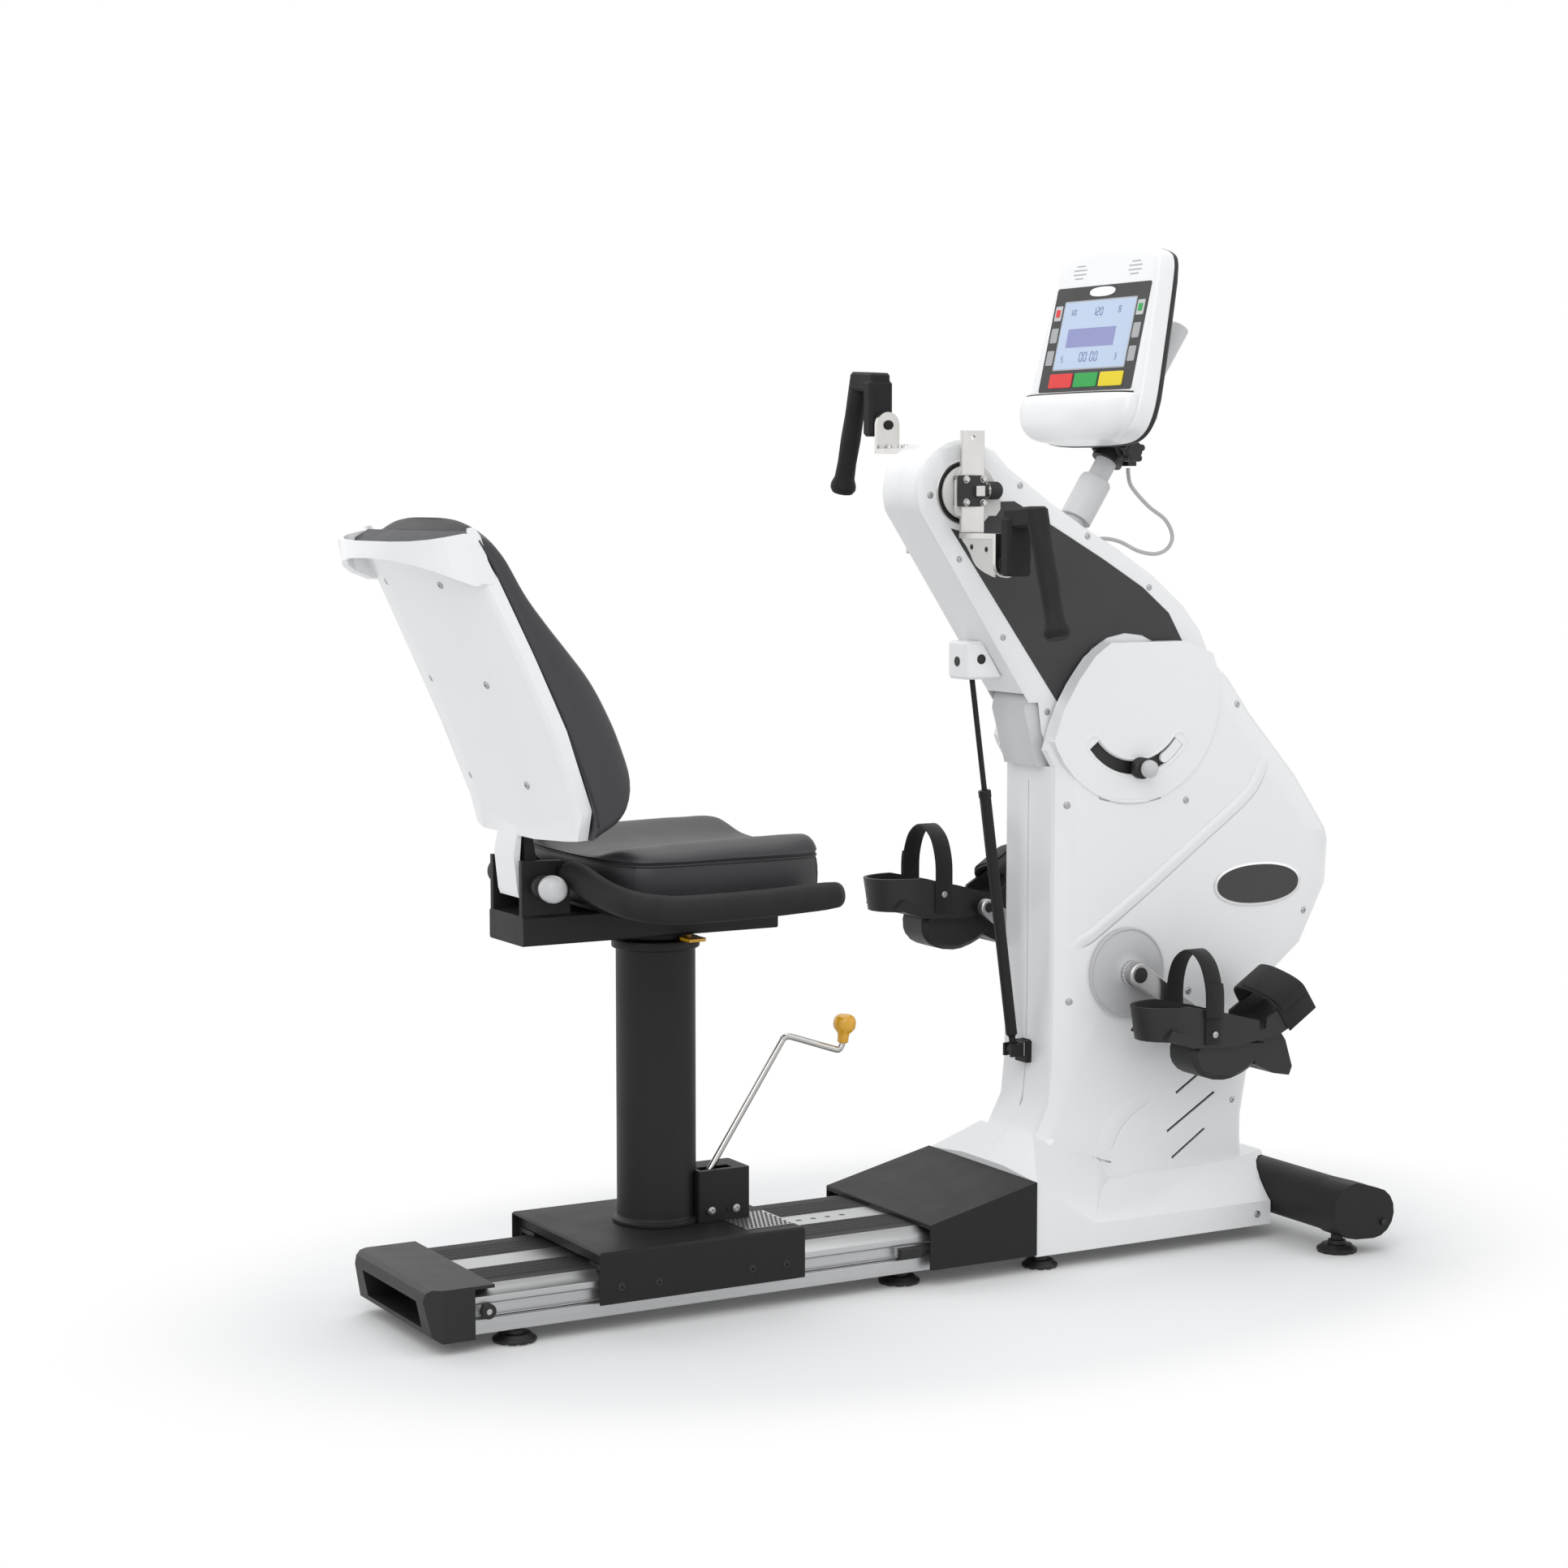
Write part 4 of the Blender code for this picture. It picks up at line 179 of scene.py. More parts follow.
def floor_material():
    """Pale paper that keeps the shadow near the object and turns to the backdrop's white further out."""
    material = bpy.data.materials.new("floor")
    material.use_nodes = True
    tree = material.node_tree
    tree.nodes.clear()
    seen = seen_directly(tree)
    paper = wired(tree, "ShaderNodeBsdfDiffuse", {"Color": FLOOR_COLOUR})
    lift = wired(tree, "ShaderNodeEmission", {"Strength": calculated(tree, "MULTIPLY", seen, FLOOR_LIFT)})
    near = wired(tree, "ShaderNodeAddShader", {0: paper.outputs[0], 1: lift.outputs[0]})
    far = tree.nodes.new("ShaderNodeEmission")
    sources = {0: floor_fade(tree, seen), 1: near.outputs[0], 2: far.outputs[0]}
    mix = wired(tree, "ShaderNodeMixShader", sources)
    wired(tree, "ShaderNodeOutputMaterial", {"Surface": mix.outputs[0]})
    return material


def floor():
    corners = [(-1, -1), (1, -1), (1, 1), (-1, 1)]
    mesh = bpy.data.meshes.new("floor")
    mesh.from_pydata([(x * FLOOR_HALF, y * FLOOR_HALF, FLOOR_LEVEL) for x, y in corners], [], [(0, 1, 2, 3)])
    mesh.materials.append(floor_material())
    item = bpy.data.objects.new("floor", mesh)
    bpy.context.collection.objects.link(item)


# Materials

class Paint:
    """A Principled material whose colour, roughness and bump come from object-space patterns."""

    def __init__(self, name, colour, rough, metal=0.0, coat=0.0, sheen=0.0, specular=0.5):
        self.colour = colour
        self.material = bpy.data.materials.new(name)
        self.material.use_nodes = True
        self.material.diffuse_color = (*colour, 1.0)
        self.tree = self.material.node_tree
        self.shader = self.tree.nodes["Principled BSDF"].inputs
        values = {"Base Color": (*colour, 1.0), "Metallic": metal, "Roughness": rough, "Coat Weight": coat,
                  "Coat Roughness": 0.12, "Sheen Weight": sheen, "Specular IOR Level": specular}
        for key, value in values.items():
            self.shader[key].default_value = value
        self.coords = self.tree.nodes.new("ShaderNodeTexCoord").outputs["Object"]
        self.bump = None

    def made(self, kind, output, sources, **settings):
        return wired(self.tree, kind, sources, **settings).outputs[output]

    def link(self, socket, key):
        self.tree.links.new(socket, self.shader[key])

    def noise(self, scale, detail=3.0, vector=None):
        sources = {"Scale": scale, "Detail": detail, "Vector": vector or self.coords}
        return self.made("ShaderNodeTexNoise", "Fac", sources)

    def cells(self, scale, randomness=1.0, feature="F1"):
        sources = {"Scale": scale, "Randomness": randomness, "Vector": self.coords}
        return self.made("ShaderNodeTexVoronoi", "Distance", sources, feature=feature)

    def waves(self, scale, direction, distortion=0.0):
        sources = {"Scale": scale, "Distortion": distortion, "Vector": self.coords}
        return self.made("ShaderNodeTexWave", "Fac", sources, bands_direction=direction)

    def spread(self, fac, low, high):
        return self.made("ShaderNodeMapRange", "Result", {"Value": fac, "To Min": low, "To Max": high})

    def tinted(self, fac, dark, light):
        """Colour between two shades of the base colour."""
        low, high = [(*[min(1.0, c * level) for c in self.colour], 1.0) for level in (dark, light)]
        sources = {"A": low, "B": high, "Factor": fac}
        self.link(self.made("ShaderNodeMix", "Result", sources, data_type="RGBA"), "Base Color")
        return self

    def mottled(self, scale, dark, light):
        return self.tinted(self.noise(scale, 4.0), dark, light)

    def uneven(self, scale, low, high):
        self.link(self.spread(self.noise(scale), low, high), "Roughness")
        return self

    def raised(self, fac, depth, strength):
        sources = {"Distance": depth, "Strength": strength, "Height": fac}
        if self.bump:
            sources["Normal"] = self.bump
        self.bump = self.made("ShaderNodeBump", "Normal", sources)
        self.link(self.bump, "Normal")
        return self


def white_plastic():
    paint = Paint("white_moulded_plastic", (0.88, 0.885, 0.89), 0.32, coat=0.2)
    paint.mottled(3.0, 0.985, 1.01).uneven(9.0, 0.26, 0.36)
    return paint.raised(paint.noise(900.0, 2.0), 0.00004, 0.35).raised(paint.noise(14.0, 2.0), 0.0004, 0.12)


def pale_plastic():
    paint = Paint("pale_grey_plastic", (0.58, 0.58, 0.585), 0.34, coat=0.2)
    paint.mottled(5.0, 0.97, 1.03).uneven(12.0, 0.28, 0.42)
    return paint.raised(paint.noise(800.0, 2.0), 0.00004, 0.3)


def grained(name, colour, rough):
    """Textured black moulding with the fine grain of spark-eroded tools."""
    paint = Paint(name, colour, rough, specular=0.42)
    paint.mottled(16.0, 0.86, 1.18).uneven(22.0, rough - 0.07, rough + 0.08)
    return paint.raised(paint.cells(650.0), 0.0001, 0.55)


def powder_coat(name, colour, rough):
    paint = Paint(name, colour, rough, specular=0.25)
    paint.mottled(8.0, 0.94, 1.08).uneven(18.0, rough - 0.08, rough + 0.08)
    return paint.raised(paint.noise(520.0), 0.00012, 0.5)


def brushed(name, colour, rough, along, fine=260.0):
    """Metal with brush lines that run along one axis."""
    paint = Paint(name, colour, rough, metal=1.0)
    scale = [2.0 if axis == along else fine for axis in "xyz"]
    stretched = paint.made("ShaderNodeMapping", "Vector", {"Vector": paint.coords, "Scale": scale})
    lines = paint.noise(1.0, 3.0, stretched)
    paint.tinted(lines, 0.9, 1.06)
    paint.link(paint.spread(lines, rough - 0.07, rough + 0.1), "Roughness")
    return paint.raised(lines, 0.00003, 0.5)


def chrome():
    paint = Paint("bright_plated_steel", (0.5, 0.49, 0.475), 0.24, metal=1.0)
    paint.mottled(30.0, 0.9, 1.06).uneven(26.0, 0.18, 0.32)
    return paint.raised(paint.noise(180.0), 0.00003, 0.4)


def foam_rubber():
    paint = Paint("black_foam_rubber", (0.012, 0.012, 0.013), 0.72, specular=0.3)
    paint.mottled(40.0, 0.8, 1.35).uneven(30.0, 0.62, 0.82)
    return paint.raised(paint.cells(520.0), 0.00025, 0.7)


def vinyl(name, colour):
    paint = Paint(name, colour, 0.46, specular=0.45)
    paint.mottled(7.0, 0.86, 1.16).uneven(14.0, 0.4, 0.54)
    creases = paint.cells(330.0, 1.0, "DISTANCE_TO_EDGE")
    paint.raised(paint.spread(creases, 0.0, 1.0), 0.0003, 0.55)
    return paint.raised(paint.noise(38.0, 4.0), 0.0006, 0.22)


def panel_vinyl():
    paint = Paint("dark_panel_texture", (0.038, 0.038, 0.04), 0.58, specular=0.4)
    paint.mottled(10.0, 0.9, 1.12).uneven(16.0, 0.52, 0.66)
    return paint.raised(paint.cells(420.0), 0.00018, 0.6)


def webbing(across_axis):
    """Woven nylon tape, ribbed across its width."""
    paint = Paint("woven_webbing_" + across_axis, (0.009, 0.009, 0.01), 0.8, sheen=0.15, specular=0.3)
    ribs = paint.waves(210.0, across_axis, 0.4)
    threads = paint.noise(700.0, 2.0)
    paint.tinted(threads, 0.7, 1.6)
    return paint.raised(ribs, 0.0005, 0.7).raised(threads, 0.00015, 0.5)


def ribbed_strip():
    """Dark anti-slip strip with fine ribs along the rail."""
    paint = Paint("ribbed_grip_strip", (0.024, 0.024, 0.026), 0.62, specular=0.4)
    paint.mottled(20.0, 0.82, 1.2)
    return paint.raised(paint.waves(95.0, "Y"), 0.0005, 0.9).raised(paint.noise(600.0), 0.0001, 0.5)


def glossy(name, colour, rough=0.22, coat=0.4):
    paint = Paint(name, colour, rough, coat=coat)
    paint.mottled(24.0, 0.96, 1.05).uneven(20.0, max(0.05, rough - 0.06), rough + 0.08)
    return paint.raised(paint.noise(500.0, 2.0), 0.00003, 0.3)


def screen():
    """Back-lit display in pale blue, which glows a little."""
    paint = Paint("display_glass", (0.5, 0.6, 0.77), 0.22, specular=0.3)
    paint.mottled(6.0, 0.96, 1.06)
    paint.shader["Emission Color"].default_value = (0.5, 0.68, 0.95, 1.0)
    paint.shader["Emission Strength"].default_value = 0.03
    return paint.raised(paint.cells(1500.0, 0.0), 0.00002, 0.3)


WHITE = white_plastic()
PALE = pale_plastic()
BLACK = grained("black_moulded_plastic", (0.012, 0.012, 0.013), 0.5)
COAT = powder_coat("black_powder_coat", (0.013, 0.013, 0.014), 0.52)
WHITE_COAT = powder_coat("white_powder_coat", (0.68, 0.685, 0.69), 0.36)
ANODISED = brushed("silver_anodised_rail", (0.52, 0.525, 0.53), 0.38, "x")
DISC = brushed("machined_aluminium", (0.5, 0.5, 0.505), 0.4, "z", 180.0)
CHROME = chrome()
FOAM = foam_rubber()
VINYL = vinyl("dark_upholstery_vinyl", (0.022, 0.022, 0.025))
BACK_VINYL = vinyl("back_upholstery_vinyl", (0.034, 0.034, 0.037))
PANEL = panel_vinyl()
TOE_TAPE = webbing("Y")
ANKLE_TAPE = webbing("Z")
RIBS = ribbed_strip()
YELLOW = glossy("yellow_knob_plastic", (0.78, 0.4, 0.015))
RED = glossy("red_key", (0.78, 0.035, 0.035), 0.55, 0.0)
GREEN = glossy("green_key", (0.012, 0.36, 0.06), 0.55, 0.0)
AMBER = glossy("yellow_key", (0.84, 0.66, 0.008), 0.55, 0.0)
KEY_GREY = glossy("grey_key", (0.4, 0.41, 0.42), 0.5, 0.0)
KEY_PALE = glossy("pale_key", (0.56, 0.57, 0.58), 0.5, 0.0)
OVERLAY = grained("console_overlay", (0.028, 0.028, 0.03), 0.5)
BADGE = glossy("dark_badge", (0.012, 0.012, 0.014), 0.2)
RIM = brushed("badge_rim", (0.66, 0.66, 0.67), 0.26, "x")
SCREEN = screen()
SEGMENT = glossy("display_segments", (0.26, 0.28, 0.54), 0.4, 0.0)
SEGMENT_DARK = glossy("display_numeral_blue", (0.1, 0.13, 0.34), 0.3, 0.3)
STEEL = brushed("zinc_plated_screws", (0.44, 0.44, 0.45), 0.34, "z")
BLACK_STEEL = powder_coat("blackened_screws", (0.03, 0.03, 0.031), 0.38)
TREAD = brushed("tread_plate_metal", (0.5, 0.5, 0.51), 0.4, "x")
DISH = glossy("pale_crank_dish", (0.54, 0.54, 0.545), 0.42, 0.1)
MAST_WHITE = powder_coat("mast_light_coat", (0.62, 0.625, 0.63), 0.34)
SATIN = powder_coat("satin_plate", (0.64, 0.63, 0.61), 0.42)
LINER = grained("hoop_liner_black", (0.02, 0.021, 0.026), 0.55)
SLOT_GREY = glossy("speaker_slot_grey", (0.44, 0.44, 0.45), 0.5, 0.0)
CABLE_GREY = glossy("grey_cable_jacket", (0.46, 0.46, 0.47), 0.42, 0.1)

# Material and edge width of each CAD node. A name that ends in _ stands for its left and right nodes

NODE_FINISH = [
    (ANODISED, 0.0006, "rail_beam"), (BLACK, 0.003, "rear_end_cap"),
    (COAT, 0.0014, "wedge_cover front_stabiliser"), (WHITE_COAT, 0.0012, "tower_frame"),
    (WHITE, 0.0022, "housing_"), (FOAM, 0.0, "drive_belt transfer_belt arm_belt"),
    (CHROME, 0.0004, "pivot_shaft hand_crank_axle"), (COAT, 0.0012, "carriage_cover seat_base"),
    (BLACK, 0.0004, "glide_ transfer_pulley"), (COAT, 0.001, "lever_box back_upright seat_column"),
    (CHROME, 0.0003, "index_pin"), (YELLOW, 0.0005, "swivel_release"),
    (WHITE, 0.002, "back_shell console_front"), (DISC, 0.0018, "crank_arm_"), (BLACK, 0.0016, "pedal_"),
    (CHROME, 0.0008, "flywheel hand_crank_"), (WHITE, 0.0025, "arm_shell_"), (PANEL, 0.0004, "arm_panel_"),
    (WHITE_COAT, 0.0008, "arm_frame"), (WHITE, 0.003, "spring_block"), (COAT, 0.0004, "gas_cylinder"),
    (COAT, 0.0003, "gas_rod"), (BLACK, 0.0008, "console_clamp"), (PANEL, 0.002, "console_back"),
    (BLACK, 0.0006, "console_knob"), (BLACK, 0.001, "wheel_"), (WHITE_COAT, 0.001, "console_mast"),
    (DISC, 0.001, "crank_axle"), (PALE, 0.0008, "back_knob"), (PALE, 0.0006, "arm_lock_knob"),
    (FOAM, 0.0016, "handle_"), (PALE, 0.0, "console_cable"), (CHROME, 0.0, "slide_lever"),
    (FOAM, 0.0, "armrest_"), (TOE_TAPE, 0.0, "toe_strap_"), (ANKLE_TAPE, 0.0, "ankle_strap_"),
    (VINYL, 0.0, "seat_cushion back_cushion"),
]


def evened(item):
    shade = item.modifiers.new("shade", "WEIGHTED_NORMAL")
    shade.keep_sharp = False
    return shade


def rounded(item, width):
    """Softens the sharp edges of a mesh piece and evens out its shading."""
    bevel = item.modifiers.new("edge", "BEVEL")
    bevel.width = width
    bevel.segments = 2
    bevel.limit_method = "ANGLE"
    bevel.angle_limit = math.radians(32.0)
    bevel.use_clamp_overlap = True
    evened(item).weight = 60


def dress(name, paint, width):
    """Gives a carried-over CAD node its material, and soft edges."""
    item = NODES[name]
    item.data.materials.clear()
    item.data.materials.append(paint.material)
    weld = item.modifiers.new("weld", "WELD")
    weld.merge_threshold = 0.00002
    if width:
        rounded(item, width)
    else:
        evened(item)


def dress_nodes():
    for paint, width, names in NODE_FINISH:
        for name in names.split():
            for end in ("left", "right") if name.endswith("_") else ("",):
                dress(name + end, paint, width)


def blacken(name, low, high):
    """Gives the faces of a node inside a box, in the drawing's X, the black coat."""
    mesh = NODES[name].data
    mesh.materials.append(COAT.material)
    low, high = spot(*low), spot(*high)
    for face in mesh.polygons:
        if all(low[k] <= face.center[k] <= high[k] for k in range(3)):
            face.material_index = len(mesh.materials) - 1


# Mesh helpers

BOX_FACES = [(0, 1, 3, 2), (4, 6, 7, 5), (0, 4, 5, 1), (2, 3, 7, 6), (0, 2, 6, 4), (1, 5, 7, 3)]


def merged(parts):
    points, faces = [], []
    for part_points, part_faces in parts:
        base = len(points)
        points += list(part_points)
        faces += [tuple(base + i for i in face) for face in part_faces]
    return points, faces


def piece(name, mesh_data, paint, body, edge=0.0, sharp=None, stands_for=None):
    """One visible piece from (points, faces) or a list of them. It rides on a body unless body is None."""
    points, faces = merged(mesh_data) if isinstance(mesh_data, list) else mesh_data
    mesh = bpy.data.meshes.new(name)
    mesh.from_pydata([tuple(p) for p in points], [], faces)
    work = bmesh.new()
    work.from_mesh(mesh)
    bmesh.ops.recalc_face_normals(work, faces=work.faces)
    for face in work.faces:
        face.smooth = True
    if sharp is not None:
        for line in work.edges:
            line.smooth = line.calc_face_angle(0.0) < math.radians(sharp)
    work.to_mesh(mesh)
    work.free()
    item = bpy.data.objects.new(name, mesh)
    bpy.context.collection.objects.link(item)
    mesh.materials.append(paint.material)
    if edge:
        rounded(item, edge)
    if body:
        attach(item, body)
    if stands_for:
        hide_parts(stands_for)
    return item


def lofted(rings, closed=False, caps=True):
    size = len(rings[0])
    points = [Vector(p) for ring in rings for p in ring]
    faces = []
    last = len(rings) if closed else len(rings) - 1
    for r in range(last):
        a, b = r * size, ((r + 1) % len(rings)) * size
        faces += [(a + i, a + (i + 1) % size, b + (i + 1) % size, b + i) for i in range(size)]
    if caps and not closed:
        faces += [tuple(range(size)), tuple(range(len(points) - size, len(points)))]
    return points, faces


def basis(direction):
    direction = Vector(direction).normalized()
    side = direction.orthogonal().normalized()
    return direction, side, direction.cross(side).normalized()


def circle(centre, side, up, radius, count):
    turns = [2.0 * math.pi * k / count for k in range(count)]
    return [centre + side * radius * math.cos(a) + up * radius * math.sin(a) for a in turns]


def turned(profile, start, direction, count=48):
    """Turned solid. profile pairs are (radius, distance along the direction)."""
    direction, side, up = basis(direction)
    return lofted([circle(Vector(start) + direction * reach, side, up, max(radius, 0.00005), count)
                   for radius, reach in profile])


def boxed(x, y, z):
    return at([(a, b, c) for a in x for b in y for c in z]), BOX_FACES


def smooth_line(points, steps=6):
    """Catmull-Rom curve through points, which runs straight on at its two ends."""
    points = [Vector(p) for p in points]
    longer = [points[0] * 2 - points[1]] + points + [points[-1] * 2 - points[-2]]
    out = []
    for p0, p1, p2, p3 in zip(longer, longer[1:], longer[2:], longer[3:]):
        for step in range(steps):
            t = step / steps
            out.append(0.5 * (2 * p1 + (p2 - p0) * t + (2 * p0 - 5 * p1 + 4 * p2 - p3) * t * t
                              + (3 * p1 - 3 * p2 + p3 - p0) * t * t * t))
    return out + [points[-1]]


def headings(points, closed=False):
    """Each point with the direction of the line through it."""
    for i, point in enumerate(points):
        before = points[i - 1] if i > 0 or closed else points[0]
        after = points[(i + 1) % len(points)] if i < len(points) - 1 or closed else points[-1]
        yield point, (after - before).normalized()


def tube(points, radius, count=16, closed=False):
    """Round tube along points. radius is one number or one for each point."""
    radii = radius if isinstance(radius, list) else [radius] * len(points)
    rings, side = [], None
    for size, (point, run) in zip(radii, headings(points, closed)):
        side = basis(run)[1] if side is None else (side - run * side.dot(run)).normalized()
        rings.append(circle(point, side, run.cross(side), size, count))
    return lofted(rings, closed)


def band(points, side, width, thick):
    """Flat strap with rounded edges along points."""
    edge = [(-0.5, -0.25), (-0.47, -0.5), (0.0, -0.54), (0.47, -0.5), (0.5, -0.25)]
    profile = edge + [(-a, -b) for a, b in edge]
    rings = []
    for point, run in headings(points):
        cross = (Vector(side) - run * Vector(side).dot(run)).normalized()
        out = run.cross(cross).normalized()
        rings.append([point + cross * width * a + out * thick * b for a, b in profile])
    return lofted(rings)


def slab(outline, plane, low, high):
    """Prism of an outline. plane y puts (x, z) pairs from y low to high, plane z puts (x, y) pairs."""
    return lofted([[spot(a, depth, b) if plane == "y" else spot(a, b, depth) for a, b in outline]
                   for depth in (low, high)])


def oval(centre, half_wide, half_tall, count, power):
    """Outline of an ellipse that gets squarer as power grows."""
    out = []
    for k in range(count):
        a = 2.0 * math.pi * k / count
        x = math.copysign(abs(math.cos(a)) ** (2.0 / power), math.cos(a)) * half_wide
        z = math.copysign(abs(math.sin(a)) ** (2.0 / power), math.sin(a)) * half_tall
        out.append((centre[0] + x, centre[1] + z))
    return out


def arc_points(centre, radius, start, end, count):
    turns = [math.radians(start + (end - start) * k / count) for k in range(count + 1)]
    return [(centre[0] + radius * math.cos(a), centre[1] + radius * math.sin(a)) for a in turns]


def rounded_box(y, z, half_wide, half_tall, radius, count=5):
    """Outline of a box about its middle, with round corners."""
    outline = []
    for quarter, (across, up) in enumerate(((1, 1), (-1, 1), (-1, -1), (1, -1))):
        corner = (y + across * (half_wide - radius), z + up * (half_tall - radius))
        outline += arc_points(corner, radius, 90 * quarter, 90 * quarter + 90, count)
    return outline


def screw_head(place, out, radius, tall):
    """Pan head with a hexagon socket, standing on a surface."""
    out, side, up = basis(out)
    place = Vector(place)
    profile = [(radius * 1.25, -0.0004), (radius * 1.25, 0.0003), (radius * 1.02, 0.0004),
               (radius, tall * 0.55), (radius * 0.86, tall * 0.9), (radius * 0.62, tall),
               (radius * 0.5, tall)]
    rings = [circle(place + out * reach, side, up, size, 24) for size, reach in profile]
    for size, reach in ((radius * 0.46, tall * 0.95), (radius * 0.42, tall * 0.2)):
        ring = []
        for k in range(24):
            a = 2.0 * math.pi * k / 24
            sector = (a % (math.pi / 3)) - math.pi / 6
            hexagon = size * math.cos(math.pi / 6) / math.cos(sector)
            ring.append(place + out * reach + side * hexagon * math.cos(a) + up * hexagon * math.sin(a))
        rings.append(ring)
    return lofted(rings)


# Places on the frame

TREES = {}


def body_of(node):
    for name, nodes in frame["record"]["behaviour"]["bodies"].items():
        if node in nodes:
            return name
    raise ValueError(node)


def surface_hit(node, start, direction):
    """Place and normal where a line first meets a CAD node, or None and None."""
    if node not in TREES:
        mesh = NODES[node].data
        corners = [point.co.copy() for point in mesh.vertices]
        TREES[node] = BVHTree.FromPolygons(corners, [tuple(face.vertices) for face in mesh.polygons])
    return TREES[node].ray_cast(start, Vector(direction).normalized())[:2]


def surface_at(node, x, z, side):
    """Place and outward direction where a line along Y meets a CAD node from outside."""
    place, normal = surface_hit(node, spot(x, side, z), (0.0, -side, 0.0))
    if place is None:
        raise ValueError(f"no surface of {node} at {x}, {z}")
    return place, normal if normal.y * side > 0 else -normal


def side_screws(node, places, side, radius, tall):
    """Screw heads seated on a node where lines along Y meet it, as one piece."""
    heads = [screw_head(*surface_at(node, x, z, side), radius, tall) for x, z in places]
    piece("screws_" + node, heads, STEEL, body_of(node), sharp=40.0)


# Rail and carriage

STRIP_INNER, STRIP_MIDDLE, STRIP_OUTER = 0.031, 0.0945, 0.1165
STRIP_REAR, STRIP_FRONT, STRIP_PITCH = -0.7045, 0.0175, 0.0042
HOLE_FIRST, HOLE_PITCH, HOLE_COUNT = -0.046, 0.026, 16
# Profile of the black discs on the index holes: painted shade inside the holes.
HOLE_PAINTED_SHADE = [(0.0, -0.0012), (0.00485, -0.0012), (0.00485, -0.0003), (0.0, -0.0003)]
BUMPER = [(0.0105, 0.0), (0.0112, 0.0006), (0.0112, 0.0092), (0.01, 0.0108), (0.0046, 0.0112),
          (0.0042, 0.01), (0.0, 0.01)]
FEET = [(-0.662, 0.117, 0.0325), (-0.005, 0.105, 0.0325), (0.24, 0.13, 0.0285), (0.716, 0.279, 0.0325)]
PLATE_X, PLATE_Y, PLATE_LEVEL, PLATE_THICK = (-0.287, -0.205), (-0.128, -0.03), 0.1212, 0.0007
STUD_COLUMNS, STUD_ROWS = 11, 13
STUD = [(0.0024, 0.0), (0.0022, 0.0005), (0.0011, 0.0008), (0.0, 0.0008)]
COLUMN = [(0.046, 0.1213), (0.066, 0.1213), (0.0668, 0.1222), (0.0668, 0.126), (0.0655, 0.1275),
          (0.0615, 0.1298), (0.0604, 0.1312), (0.06, 0.1335), (0.06, 0.536), (0.0604, 0.5378),
          (0.065, 0.5392), (0.0662, 0.5402), (0.0666, 0.542), (0.0666, 0.5505), (0.066, 0.5522),
          (0.064, 0.5528), (0.0335, 0.5528), (0.033, 0.52)]
LEVER_LINE = [(-0.311, -0.04, 0.165), (-0.301, -0.04, 0.196), (-0.298, -0.04, 0.203),
              (-0.235, -0.045, 0.302), (-0.184, -0.049, 0.3815), (-0.18, -0.0495, 0.388),
              (-0.174, -0.0498, 0.3915), (-0.166, -0.05, 0.3905), (-0.13, -0.05, 0.3785),
              (-0.09, -0.05, 0.365), (-0.0815, -0.05, 0.364), (-0.0765, -0.05, 0.369),
              (-0.074, -0.05, 0.38)]
LEVER_KNOB = [(0.006, -0.002), (0.0086, 0.0), (0.0088, 0.009), (0.01, 0.0135), (0.015, 0.0185),
              (0.0172, 0.0225), (0.0178, 0.027), (0.0176, 0.032), (0.0164, 0.0365), (0.013, 0.0405),
              (0.008, 0.0428), (0.0, 0.0436)]


def ribbed_profile(low, high, tall):
    count = round((high - low) / STRIP_PITCH)
    step = (high - low) / count
    profile = [(low, 0.0), (low, tall * 0.5)]
    for k in range(count):
        y = low + k * step
        profile += [(y + step * 0.1, tall * 0.5), (y + step * 0.26, tall), (y + step * 0.72, tall),
                    (y + step * 0.88, tall * 0.5)]
    return profile + [(high, tall * 0.5), (high, 0.0)]


def grip_strips():
    strips = []
    for sign in (-1, 1):
        for low, high, tall in ((STRIP_INNER, STRIP_MIDDLE, 0.001), (STRIP_MIDDLE, STRIP_OUTER, 0.00036)):
            profile = [(sign * y, RAIL_TOP + z) for y, z in ribbed_profile(low, high, tall)]
            strips.append(lofted([[spot(x, y, z) for y, z in profile] for x in (STRIP_REAR, STRIP_FRONT)]))
    piece("rail_grip_strips", strips, RIBS, "frame", sharp=30.0)


def rail_trim():
    # Black discs over the index holes stand in for the shade inside them: painted shade.
    holes = [spot(HOLE_FIRST - k * HOLE_PITCH, 0.0, RAIL_TOP) for k in range(HOLE_COUNT)]
    hole_painted_shades = [turned(HOLE_PAINTED_SHADE, hole, UP, 24) for hole in holes]
    piece("index_hole_painted_shades", hole_painted_shades, BLACK, "frame", sharp=40.0)
    grooves, stops, blocks = [], [], []
    for sign in (-1, 1):
        grooves.append(boxed((-0.734, 0.0175), (sign * 0.1405, sign * RAIL_SIDE), (0.0478, 0.0492)))
        stops.append(turned(BUMPER, spot(-0.716, sign * RAIL_SIDE, 0.0575), (0, sign, 0), 32))
        blocks.append(boxed((-0.0308, 0.0088), (sign * RAIL_SIDE, sign * 0.1542), (0.0492, 0.0648)))
    piece("rail_side_groove", grooves, BLACK, "frame", sharp=30.0)
    piece("rear_bumpers", stops, BLACK, "frame", sharp=35.0)
    piece("front_bumpers", blocks, BLACK, "frame", edge=0.0016)


